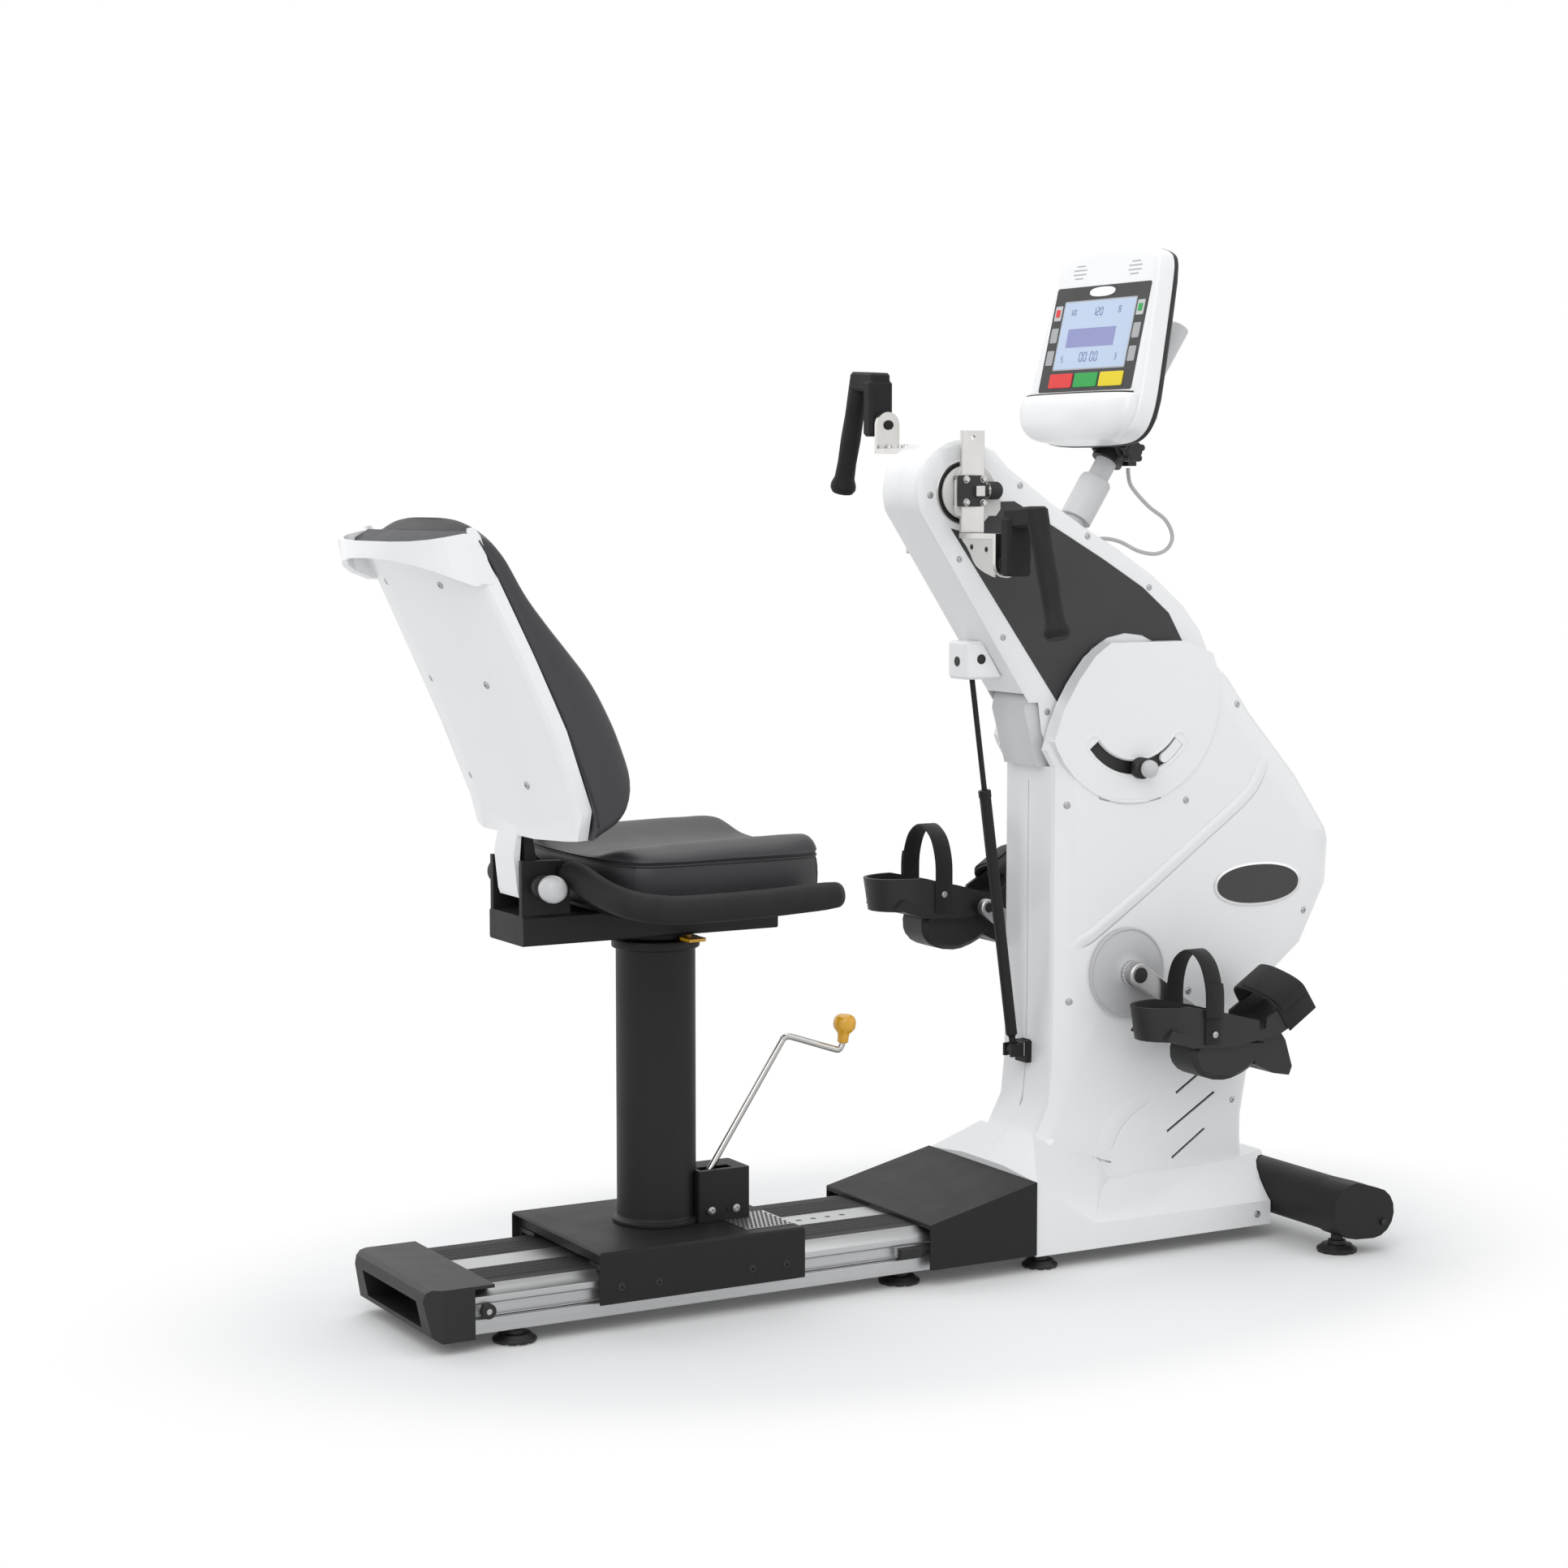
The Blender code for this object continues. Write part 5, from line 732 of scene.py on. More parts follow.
def levelling_feet():
    pads = []
    for x, y, radius in FEET:
        profile = [(0.0, 0.0001), (radius - 0.004, 0.0001), (radius - 0.0012, 0.001), (radius, 0.003),
                   (radius, 0.0056), (radius * 0.97, 0.0068), (radius * 0.8, 0.0102), (radius * 0.74, 0.0126),
                   (radius * 0.46, 0.0132), (radius * 0.44, 0.019), (0.0098, 0.0196), (0.0098, 0.03)]
        pads += [turned(profile, spot(x, sign * y, 0.0), UP, 40) for sign in (-1, 1)]
    piece("levelling_feet", pads, BLACK, "frame", sharp=35.0)


def tread_plate():
    (x0, x1), (y0, y1), top = PLATE_X, PLATE_Y, PLATE_LEVEL + PLATE_THICK
    plate = slab([(x0, y0), (x1, y0), (x1, y1), (x0, y1)], "z", PLATE_LEVEL, top)
    piece("tread_plate", plate, TREAD, "carriage", edge=0.0003)
    studs = []
    for i in range(STUD_COLUMNS):
        for j in range(STUD_ROWS):
            x = x0 + (x1 - x0) * (i + 0.5 + 0.25 * (-1) ** j) / (STUD_COLUMNS + 0.5)
            y = y0 + (y1 - y0) * (j + 0.5) / STUD_ROWS
            studs.append(turned(STUD, spot(x, y, top), UP, 10))
    piece("tread_studs", studs, BLACK, "carriage", sharp=50.0)


def carriage_trim():
    heads = [screw_head(spot(x, sign * 0.155, 0.068), (0, sign, 0), 0.0058, 0.003)
             for x in (-0.509, -0.448, -0.292, -0.234) for sign in (-1, 1)]
    piece("glide_screws", heads, BLACK_STEEL, "carriage", sharp=40.0)
    heads = [screw_head(spot(x, -0.0625, 0.139), (0, -1, 0), 0.005, 0.0024) for x in (-0.31, -0.268)]
    piece("lever_box_screws", heads, STEEL, "carriage", sharp=40.0)
    tread_plate()
    column = turned(COLUMN, spot(COLUMN_X, 0.0, 0.0), UP, 96)
    piece("seat_column_tube", column, COAT, "carriage", sharp=35.0, stands_for="seat_column")


def lever():
    rod = tube(smooth_line(at(LEVER_LINE)), 0.005, 20)
    knob = turned(LEVER_KNOB, spot(-0.0745, -0.05, 0.375), (0.12, 0.0, 1.0))
    piece("slide_lever_rod", rod, CHROME, "lever", stands_for="slide_lever")
    piece("slide_lever_knob", knob, YELLOW, "lever", sharp=60.0, stands_for="slide_lever")


# Seat. Its pad is stacked from scaled copies of one outline, each with its level

SEAT_MIDDLE = (-0.3465, 0.0)
SEAT_DEEP, SEAT_WIDE = 0.169, 0.2
SEAM_LEVEL = 0.685
SEAT_SIDE = [(0.6, 0.6137), (0.93, 0.6138), (0.972, 0.6152), (0.988, 0.62), (0.997, 0.63), (1.004, 0.645),
             (1.006, 0.658), (1.004, 0.67), (0.998, 0.679), (0.99, 0.6835), (0.9885, SEAM_LEVEL),
             (0.99, 0.6865)]
SEAT_TOP = [0.997, 1.001, 0.999, 0.992, 0.98, 0.962, 0.935, 0.9, 0.84, 0.76, 0.66, 0.54, 0.42, 0.3, 0.18,
            0.07]
ARMREST_LINE = [(-0.548, 0.07, 0.667), (-0.546, 0.11, 0.662), (-0.542, 0.172, 0.648),
                (-0.524, 0.222, 0.637), (-0.485, 0.244, 0.63), (-0.44, 0.2495, 0.628), (-0.33, 0.25, 0.629),
                (-0.205, 0.25, 0.634)]
ARMREST_RADIUS = 0.0205
ARMREST_STEM = [(-0.551, 0.058, 0.668), (-0.5485, 0.08, 0.6662), (-0.546, 0.1, 0.663)]
ARMREST_PLUG = [(0.0188, -0.002), (0.019, 0.0015), (0.0182, 0.005), (0.016, 0.008), (0.011, 0.01),
                (0.0, 0.0106)]


def seat_level(x, y):
    """Height of the saddle-shaped top: a bolster along each side and a low middle."""
    fore = (x - SEAT_MIDDLE[0]) / (2 * SEAT_DEEP) + 0.5
    bolster = 0.027 * math.exp(-((abs(y) / SEAT_WIDE - 0.74) / 0.3) ** 2)
    return 0.6875 + bolster * (0.7 + 0.3 * fore ** 2) + 0.005 * math.sin(math.pi * fore)


def ripple(point, scale, depth):
    return depth * noise.noise(Vector(point) * scale)


def seat_outline(scale, count=128):
    return oval(SEAT_MIDDLE, SEAT_DEEP * scale, SEAT_WIDE * scale, count, 6.0)


def seat_rings():
    rings = [[spot(x, y, level) for x, y in seat_outline(scale)] for scale, level in SEAT_SIDE]
    base = SEAM_LEVEL + 0.003
    for scale in SEAT_TOP:
        roll = 1.0 if scale < 0.9 else math.sqrt(max(0.0, 1.0 - ((scale - 0.9) / 0.102) ** 2))
        ring = []
        for x, y in seat_outline(scale):
            level = base + (seat_level(x, y) - base) * roll
            level += ripple((x, y, 0.3), 24.0, 0.0009) + ripple((x, y, 0.7), 70.0, 0.0003)
            ring.append(spot(x, y, level))
        rings.append(ring)
    return rings


def seat_cushion():
    cushion = piece("seat_pad", lofted(seat_rings()), VINYL, "seat", stands_for="seat_cushion")
    smooth = cushion.modifiers.new("fine", "SUBSURF")
    smooth.levels = smooth.render_levels = 1
    welt = [spot(x, y, SEAM_LEVEL) for x, y in seat_outline(0.9935, 160)]
    piece("seat_welt", tube(welt, 0.0017, 10, closed=True), VINYL, "seat", stands_for="seat_cushion")
    seams = []
    for corner in range(16, 128, 32):
        rise = [(seat_outline(scale)[corner], level) for scale, level in SEAT_SIDE[2:-2]]
        seams.append(tube([spot(x, y, level) for (x, y), level in rise], 0.0011, 8))
    piece("seat_corner_seams", seams, VINYL, "seat")


def armrest(side, sign):
    path, stem = [at([(x, sign * y, z) for x, y, z in line]) for line in (ARMREST_LINE, ARMREST_STEM)]
    path = smooth_line(path, 8)
    radii = [0.0165, 0.019, 0.02] + [ARMREST_RADIUS] * (len(path) - 5) + [0.0202, 0.019]
    plug = turned(ARMREST_PLUG, spot(-0.2052, sign * 0.25, 0.634), (1.0, 0.0, 0.03), 40)
    node = "armrest_" + side
    foam = piece("armrest_foam_" + side, tube(path, radii, 32), FOAM, "seat", sharp=60.0, stands_for=node)
    piece("armrest_stem_" + side, tube(stem, 0.012, 24), COAT, "seat", stands_for=node)
    piece("armrest_plug_" + side, plug, BLACK, "seat", sharp=60.0, stands_for=node)


# Backrest. Its tray's line and the cushion's front are (x, z) pairs from the top down

TRAY_LINE = [(-0.75, 1.164), (-0.713, 1.1), (-0.66, 0.99), (-0.612, 0.886), (-0.5685, 0.77),
             (-0.5655, 0.726)]
FRONT_LINE = [(-0.731, 1.182), (-0.701, 1.137), (-0.658, 1.069), (-0.609, 1.011), (-0.565, 0.959),
              (-0.534, 0.907), (-0.511, 0.854), (-0.499, 0.813), (-0.501, 0.784), (-0.515, 0.756)]
CUSHION_HALF = [(1.0, 0.0), (1.0, 0.3), (1.0, 0.58), (0.975, 0.82), (0.88, 0.965), (0.66, 0.985),
                (0.34, 0.93)]
CUSHION_SECTION = [(-s, f) for s, f in CUSHION_HALF] + [(0.0, 0.9)] + CUSHION_HALF[::-1]
CUSHION_GAP = 0.0006
TOP_ROLL, FOOT_ROLL = 0.055, 0.04
SECTIONS = [0.0, 0.006, 0.016, 0.032, TOP_ROLL] + [TOP_ROLL + 0.905 * k / 34 for k in range(1, 35)]
SECTIONS += [0.972, 0.984, 0.993, 1.0]
BACK_SCREWS = [(-0.732, 1.1), (-0.685, 0.949), (-0.633, 0.8)]
SHELL_MIDDLE, SHELL_HALF = 0.047, 0.184
HOOP_WING = [(-0.754, 1.124, 1.169, 0.1962), (-0.748, 1.1, 1.17, 0.1971), (-0.74, 1.0905, 1.16, 0.1971),
             (-0.734, 1.09, 1.143, 0.1971), (-0.728, 1.0895, 1.124, 0.197), (-0.72, 1.089, 1.109, 0.1966),
             (-0.713, 1.0885, 1.096, 0.1955)]


def upright(pairs):
    return [Vector((x, 0.0, z)) for x, z in pairs]


def along(path, t):
    """Place at a share t of a path's length."""
    lengths = [0.0]
    for a, b in zip(path, path[1:]):
        lengths.append(lengths[-1] + (b - a).length)
    want = t * lengths[-1]
    for k in range(len(path) - 1):
        if want <= lengths[k + 1] + 1e-9:
            return path[k].lerp(path[k + 1], (want - lengths[k]) / (lengths[k + 1] - lengths[k]))
    return path[-1]


def back_ring(t, rear, front, section):
    """Section of the back cushion at a share t of its length. Its ends roll in and its top arches."""
    back, face = along(rear, t), along(front, t)
    if t == 0.0:
        back = back + Vector((0.002, 0.0, 0.003))
    near = min(t / TOP_ROLL, (1.0 - t) / FOOT_ROLL, 1.0)
    swell = math.sqrt(max(0.0, 1.0 - (1.0 - near) ** 2))
    half = 0.1835 + 0.0135 * swell
    ring = []
    for item in section:
        s, f = item.x, item.z * (0.86 + 0.14 * swell)
        place = back + (face - back) * f
        draw = 1.0 - 0.01 * math.sin(math.pi * min(1.0, max(0.0, f))) * (abs(s) > 0.9)
        wave = ripple((place.x, s * half, place.z), 26.0, 0.0008) * (f > 0.1)
        arch = max(0.0, 1.0 - t / 0.14) ** 1.5 * (0.25 + 0.75 * max(0.0, min(1.0, f)))
        drop = (0.022 * abs(s) ** 3 - 0.005 * (1.0 - s * s)) * arch
        ring.append(spot(place.x + wave, s * half * draw, place.z - drop))
    return ring


def back_cushion():
    rear = [point + Vector((-run.z, 0.0, run.x)) * CUSHION_GAP for point, run in headings(upright(TRAY_LINE))]
    rear, front = smooth_line(rear, 8), smooth_line(upright(FRONT_LINE))
    section = smooth_line(upright(CUSHION_SECTION), 4)
    rings = [back_ring(t, rear, front, section) for t in SECTIONS]
    cushion = piece("back_pad", lofted(rings), BACK_VINYL, "backrest", sharp=55.0, stands_for="back_cushion")
    middle = []
    for k in range(60):
        t = 0.03 + 0.93 * k / 59
        middle.append(along(rear, t).lerp(along(front, t), 0.045))
    welts = [tube([spot(p.x, sign * 0.1968, p.z) for p in middle], 0.0015, 8) for sign in (-1, 1)]
    piece("back_welts", welts, VINYL, "backrest")


def back_shell_screws():
    heads = []
    for x, z in BACK_SCREWS:
        for y in (-0.1, 0.1):
            place, normal = surface_hit("back_shell", spot(x - 0.25, y, z - 0.1), (0.93, 0.0, 0.37))
            heads.append(screw_head(place, normal if normal.x < 0 else -normal, 0.0048, 0.0016))
    piece("back_shell_screws", heads, STEEL, "backrest", sharp=40.0)


def hoop_liner():
    """Dark lining inside the hoop at the top of the back shell."""
    top, second = upright(TRAY_LINE[:2])
    up = (top - second).normalized()
    rear = Vector((-up.z, 0.0, up.x))
    rings = []
    for k in range(41):
        y = SHELL_HALF * (k / 20 - 1)
        thick = SHELL_MIDDLE - 0.02 * max(0.0, abs(y) - 0.09) / 0.093
        section = [(0.001, 0.0012), (thick - 0.002, 0.0012), (thick + 0.0006, 0.0), (thick + 0.001, -0.004),
                   (thick + 0.001, -0.019), (thick - 0.004, -0.019), (thick - 0.004, -0.006), (0.001, -0.006)]
        rings.append([spot(0.0, y, 0.0) + top + rear * out + up * rise for out, rise in section])
    piece("hoop_liner", lofted(rings), LINER, "backrest", sharp=40.0)


def wing_ring(sign, x, low, high, proud):
    pairs = [(proud, low + 0.003), (proud, high), (0.183, high), (0.183, low), (proud - 0.004, low)]
    return [spot(x, sign * y, z) for y, z in pairs]


def hoop_wings():
    wings = [lofted([wing_ring(sign, *row) for row in HOOP_WING]) for sign in (-1, 1)]
    piece("hoop_wings", wings, WHITE, "backrest", sharp=50.0)


# Ball knobs. Profiles are (radius, distance from the middle plane)

BACK_COLLAR = [(0.0158, 0.0645), (0.0172, 0.0655), (0.0172, 0.0745), (0.016, 0.0765), (0.0092, 0.0785),
               (0.009, 0.085)]
BACK_BALL = [(0.0088, 0.0842), (0.0136, 0.0866), (0.0174, 0.0908), (0.0196, 0.0966), (0.0202, 0.1035),
             (0.0196, 0.1104), (0.0176, 0.1166), (0.0142, 0.1212), (0.0096, 0.124), (0.0046, 0.1252),
             (0.0, 0.1254)]
LOCK_COLLAR = [(0.0058, 0.0886), (0.0166, 0.0888), (0.0173, 0.0896), (0.0173, 0.1), (0.0166, 0.101),
               (0.0124, 0.104), (0.0072, 0.1052), (0.007, 0.1066)]
LOCK_BALL = [(0.007, 0.1062), (0.0112, 0.1085), (0.0138, 0.1122), (0.0146, 0.1168), (0.0138, 0.1214),
             (0.0112, 0.1252), (0.007, 0.1277), (0.0, 0.1286)]


def ball_knob(name, node, body, centre, collar, ball, count):
    collar, ball = turned(collar, centre, (0, -1, 0)), turned(ball, centre, (0, -1, 0), count)
    piece(name + "_collar", collar, BLACK, body, sharp=35.0, stands_for=node)
    piece(name + "_ball", ball, PALE, body, sharp=60.0, stands_for=node)


def knobs():
    centre = spot(SEAT_PIVOT[0], 0.0, SEAT_PIVOT[1])
    ball_knob("back_knob", "back_knob", "backrest_knob", centre, BACK_COLLAR, BACK_BALL, 64)
    low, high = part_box("arm_lock_knob")
    centre = Vector(((low.x + high.x) / 2, 0.0, (low.z + high.z) / 2))
    shank = [(0.0, -high.y), (LOCK_COLLAR[0][0], -high.y)]
    ball_knob("lock_knob", "arm_lock_knob", "arm_knob", centre, shank + LOCK_COLLAR, LOCK_BALL, 56)


# Pedals. Strap lines are (distance from the middle plane, height) pairs about the pedal's axle

STRAP_INNER, STRAP_OUTER = 0.1372, 0.2408
STRAP_MIDDLE = (STRAP_INNER + STRAP_OUTER) / 2
TOE_RUN, TOE_RISE = Vector((0.838, 0.0, 0.545)), Vector((-0.545, 0.0, 0.838))
TOE_LINE = [(STRAP_INNER, -0.05), (STRAP_INNER, -0.01), (STRAP_INNER + 0.001, 0.014),
            (STRAP_INNER + 0.01, 0.027), (STRAP_MIDDLE - 0.014, 0.029), (STRAP_MIDDLE + 0.014, 0.023),
            (STRAP_OUTER - 0.014, 0.014), (STRAP_OUTER - 0.002, 0.004), (STRAP_OUTER, -0.008),
            (STRAP_OUTER, -0.044)]
ANKLE_X = -0.072
ANKLE_LINE = [(STRAP_INNER, -0.006), (STRAP_INNER, 0.04), (STRAP_INNER + 0.002, 0.08),
              (STRAP_INNER + 0.016, 0.114), (STRAP_MIDDLE - 0.01, 0.132), (STRAP_MIDDLE + 0.012, 0.132),
              (STRAP_OUTER - 0.016, 0.114), (STRAP_OUTER - 0.002, 0.08), (STRAP_OUTER, 0.04),
              (STRAP_OUTER, -0.01)]
RIVETS = [(STRAP_INNER - 0.0018, 0.024, -1, 0.0012), (STRAP_OUTER + 0.0044, 0.006, 1, 0.0014)]


def toe_strap(side, sign, axle):
    """Band over the toes, and the flap that fastens outside it."""
    node, body = "toe_strap_" + side, "footplate_" + side
    toes = axle + TOE_RUN * 0.097
    path = smooth_line([toes + TOE_RISE * h + Vector((0.0, sign * y, 0.0)) for y, h in TOE_LINE])
    flap = []
    for point in path[22:50]:
        outward = max(0.0, (abs(point.y) - STRAP_MIDDLE) / (STRAP_OUTER - STRAP_MIDDLE))
        flap.append(point + Vector((0.0, sign * 0.003 * outward, 0.0)) + TOE_RISE * 0.0031)
    piece("toe_band_" + side, band(path, TOE_RUN, 0.062, 0.003), TOE_TAPE, body, sharp=60.0, stands_for=node)
    piece("toe_flap_" + side, band(flap, TOE_RUN, 0.054, 0.0026), TOE_TAPE, body, sharp=60.0, stands_for=node)


def ankle_strap(side, sign, axle):
    """Loop round the ankle, the flap outside it, and the rivets that hold it to the foot plate."""
    node, body, across = "ankle_strap_" + side, "footplate_" + side, (1.0, 0.0, 0.0)
    path = smooth_line([axle + Vector((ANKLE_X, sign * y, h)) for y, h in ANKLE_LINE])
    outer = [p + Vector((0.0, sign * 0.003, 0.0)) for p in path if abs(p.y) > STRAP_OUTER - 0.004]
    loop, cover = band(path, across, 0.032, 0.003), band(outer[:len(outer) * 2 // 3], across, 0.034, 0.0028)
    piece("ankle_band_" + side, loop, ANKLE_TAPE, body, sharp=60.0, stands_for=node)
    piece("ankle_flap_" + side, cover, ANKLE_TAPE, body, sharp=60.0, stands_for=node)
    rivets = [screw_head(axle + Vector((ANKLE_X, sign * y, h)), (0, out * sign, 0), 0.0042, tall)
              for y, h, out, tall in RIVETS]
    piece("strap_rivets_" + side, rivets, STEEL, body, sharp=40.0)


def straps(side, sign):
    turn = math.pi - CRANK_DROP if sign > 0 else -CRANK_DROP
    axle = spot(CRANK[0] + CRANK_LENGTH * math.cos(turn), 0.0, CRANK[1] + CRANK_LENGTH * math.sin(turn))
    toe_strap(side, sign, axle)
    ankle_strap(side, sign, axle)


# Tower. Lines are (x, z) pairs, and ridge profiles are (offset across the line, height) pairs

HOUSING_SCREWS = [(0.321, 0.724), (0.549, 0.722), (0.653, 0.874), (0.795, 0.526), (0.326, 0.409),
                  (0.558, 0.409), (0.652, 0.22), (0.6497, 0.0425)]
CREASE = [(0.322, 0.4935), (0.348, 0.508), (0.374, 0.5215), (0.47, 0.585), (0.58, 0.662), (0.667, 0.724),
          (0.697, 0.762), (0.716, 0.812)]
CREASE_PROFILE = [(-0.016, 0.0), (-0.01, 0.0006), (-0.004, 0.0019), (0.0, 0.0024), (0.003, 0.0021),
                  (0.006, 0.001), (0.01, 0.0)]
WELL = [(0.389, 0.146), (0.398, 0.172), (0.414, 0.202), (0.44, 0.226), (0.47, 0.243), (0.492, 0.254)]
WELL_PROFILE = [(-0.022, 0.0), (-0.012, 0.0003), (-0.004, 0.0009), (0.0, 0.0011), (0.004, 0.0009),
                (0.012, 0.0003), (0.02, 0.0)]
EAR_EDGE = [(0.378, 0.735), (0.405, 0.7284), (0.4336, 0.725), (0.465, 0.7252), (0.498, 0.73)]
EAR_PROFILE = [(-0.004, 0.0), (-0.0015, 0.0009), (0.0015, 0.0009), (0.004, 0.0)]
BADGE_PLACE = (0.696, 0.577)
SLOT_RADIUS, SLOT_FIRST, SLOT_LAST = 0.105, 212.0, 338.0
SLOT_LIP = [(-0.0862, 0.0165, 54.0), (-0.0881, 0.0158, 53.6), (-0.0889, 0.0145, 53.0),
            (-0.0884, 0.0122, 51.6), (-0.085, 0.0104, 50.6), (-0.0815, 0.0102, 50.6)]
CRANK_DISH = [(0.0716, 0.0028), (0.0722, 0.0036), (0.0722, 0.0062), (0.0714, 0.0074), (0.0694, 0.0078),
              (0.0682, 0.0072), (0.0674, 0.0066), (0.06, 0.0088), (0.05, 0.0116), (0.036, 0.013),
              (0.026, 0.0135), (0.0226, 0.015), (0.021, 0.018), (0.0206, 0.0262)]
AXLE_CAP = [(0.0128, 0.0428), (0.0128, 0.0436), (0.012, 0.0444), (0.006, 0.0448), (0.0, 0.0448)]
SPRING_PLUG = [(0.0078, 0.0), (0.0078, 0.0006), (0.0066, 0.001), (0.0062, 0.0004), (0.0, 0.0004)]


def slot_outline(half_width, half_angle, middle=270.0):
    """Outline of a curved slot about the arm's pivot, with round ends."""
    first, last = middle - half_angle, middle + half_angle
    outline = arc_points(PIVOT, SLOT_RADIUS + half_width, first, last, 40)
    tip = arc_points(PIVOT, SLOT_RADIUS, last, last, 1)[0]
    outline += arc_points(tip, half_width, last + 15.0, last + 165.0, 8)
    outline += arc_points(PIVOT, SLOT_RADIUS - half_width, last, first, 40)
    tip = arc_points(PIVOT, SLOT_RADIUS, first, first, 1)[0]
    return outline + arc_points(tip, half_width, first + 195.0, first + 345.0, 8)


def layered(layers):
    """Ring-shaped solid through (x, z) outlines, each at its y."""
    return lofted([[spot(x, y, z) for x, z in outline] for y, outline in layers], closed=True)


def ridge(name, node, side, path, profile):
    """Soft moulded ridge on the side of a node, which fades out at its ends."""
    line = list(headings(smooth_line(upright(path), 10)))
    rings = []
    for i, (point, run) in enumerate(line):
        fade = min(1.0, 5.0 * i / (len(line) - 1), 5.0 * (len(line) - 1 - i) / (len(line) - 1))
        ring = []
        for offset, height in profile:
            place = surface_at(node, point.x - run.z * offset, point.z + run.x * offset, side)[0]
            ring.append(place + Vector((0.0, side * (height * fade - 0.0002), 0.0)))
        rings.append(ring)
    piece(name, lofted(rings, caps=False), WHITE, "frame")


def housing_trim(name, side):
    node = "housing_" + name
    side_screws(node, HOUSING_SCREWS, side, 0.0048, 0.0018)
    ridge("crease_" + node, node, side, CREASE, CREASE_PROFILE)
    ridge("well_" + node, node, side, WELL, WELL_PROFILE)
    ridge("ear_edge_" + node, node, side, EAR_EDGE, EAR_PROFILE)


def badge():
    outer, inner = oval(BADGE_PLACE, 0.0885, 0.036, 72, 2.2), oval(BADGE_PLACE, 0.0835, 0.0318, 72, 2.2)
    rim = layered([(-0.084, outer), (-0.0868, outer), (-0.0876, inner), (-0.084, inner)])
    piece("badge_rim", rim, RIM, "frame", sharp=40.0)
    piece("badge_field", slab(inner, "y", -0.0869, -0.084), BADGE, "frame", sharp=40.0)


def slot():
    """The lock knob's slot: a black plate on the arm behind it as painted shade inside the slot, a raised
    lip, and a floor near its front end.
    """
    # Black plate behind the slot: painted shade of the housing's hollow inside.
    painted_shade_outline = arc_points(PIVOT, 0.09, SLOT_FIRST, SLOT_LAST, 34)
    painted_shade_outline += arc_points(PIVOT, 0.1195, SLOT_LAST, SLOT_FIRST, 34)
    piece("slot_painted_shade", slab(painted_shade_outline, "y", -0.081, -0.0798), BLACK, "arm", sharp=40.0)
    lip = layered([(y, slot_outline(half_width, half_angle)) for y, half_width, half_angle in SLOT_LIP])
    piece("slot_lip", lip, WHITE, "frame", sharp=50.0)
    plate = [(x, z - 0.0016) for x, z in slot_outline(0.0082, 9.5, 311.5)]
    piece("slot_floor", slab(plate, "y", -0.0862, -0.0815), WHITE, "frame", sharp=50.0)


def drive_trim():
    for name, side in reversed(SIDES):
        # Black slabs behind the vent slots: painted shade inside the housing.
        shade = boxed((0.5, 0.632), (side * 0.079, side * 0.08), (0.118, 0.29))
        piece("vent_painted_shade_" + name, shade, BLACK, "frame")
    for name, side in SIDES:
        start = spot(CRANK[0], side * HOUSING_SIDE, CRANK[1])
        piece("crank_dish_" + name, turned(CRANK_DISH, start, (0, side, 0), 96), DISH, "crank", sharp=35.0)
        piece("axle_cap_" + name, turned(AXLE_CAP, start, (0, side, 0), 40), BLACK, "crank", sharp=35.0)


def housing_seam():
    """Grey line where the two housings meet at the rear of the tower."""
    seam = []
    for k in range(34):
        place = surface_hit("housing_right", spot(-0.2, -0.0008, 0.232 + 0.016 * k), (1.0, 0.0, 0.0))[0]
        seam.append(Vector((place.x, 0.0, place.z)))
    piece("housing_seam", tube(seam, 0.0006, 8), SLOT_GREY, "frame")


def spring_foot():
    """Black bracket on the tower's frame that holds the gas spring's lower end."""
    blacken("tower_frame", (0.24, -0.02, 0.29), (0.2995, 0.02, 0.36))
    block = boxed((0.2877, 0.31), (-0.0165, 0.0165), (0.303, 0.338))
    piece("spring_foot_block", block, COAT, "frame", edge=0.0012)


def spring_plugs():
    plugs = [turned(SPRING_PLUG, spot(0.19, side * 0.028, 0.957), (0, side, 0), 32) for side in (-1, 1)]
    plugs.append(turned(SPRING_PLUG, spot(0.163, 0.0, 0.953), (-1, 0, 0), 32))
    piece("spring_block_plugs", plugs, BLACK, "arm", sharp=40.0)


# Tilting arm and hand cranks. A crank's places are (a, y, b): forward, outward and up on the right one

ARM_SCREWS = [(0.145, 1.282), (0.077, 1.214), (0.131, 1.115), (0.213, 0.992), (0.297, 0.872),
              (0.243, 1.229), (0.372, 1.149), (0.493, 1.066)]
HUB_SEAL = [(0.0415, 0.0), (0.0415, 0.0012), (0.0425, 0.002), (0.0462, 0.002), (0.047, 0.0012),
            (0.047, 0.0)]
HUB_RIM = [(0.047, 0.0), (0.047, 0.002), (0.0478, 0.0026), (0.0492, 0.0026), (0.05, 0.0018), (0.05, 0.0)]
HUB_FACE = [(0.0412, 0.0575), (0.0413, 0.0603), (0.0376, 0.0643), (0.0268, 0.0658), (0.0262, 0.0712),
            (0.012, 0.0713)]
GUSSET = [(-0.0205, 0.04), (0.0205, 0.04), (0.034, 0.026), (0.045, 0.008), (0.051, -0.012), (0.051, -0.026),
          (0.043, -0.036), (-0.027, -0.036), (-0.031, -0.03), (-0.031, 0.018)]
PLUNGER = [(0.0104, 0.0), (0.0104, 0.0076), (0.0128, 0.0096), (0.013, 0.012), (0.013, 0.028),
           (0.0124, 0.0304), (0.0104, 0.0324), (0.0, 0.0326)]
PLUNGER_OUT, PLUNGER_LEVEL, PLUNGER_RADIUS = 0.089, 0.003, 0.013
BLOCK_SCREWS = [(-0.024, 0.02), (-0.024, -0.015), (0.007, 0.021), (0.007, -0.016)]
GRIP_BEARING = [(0.0145, 0.0), (0.0145, 0.0008), (0.0135, 0.0014), (0.01, 0.0014), (0.0092, 0.0008),
                (0.0092, 0.0)]
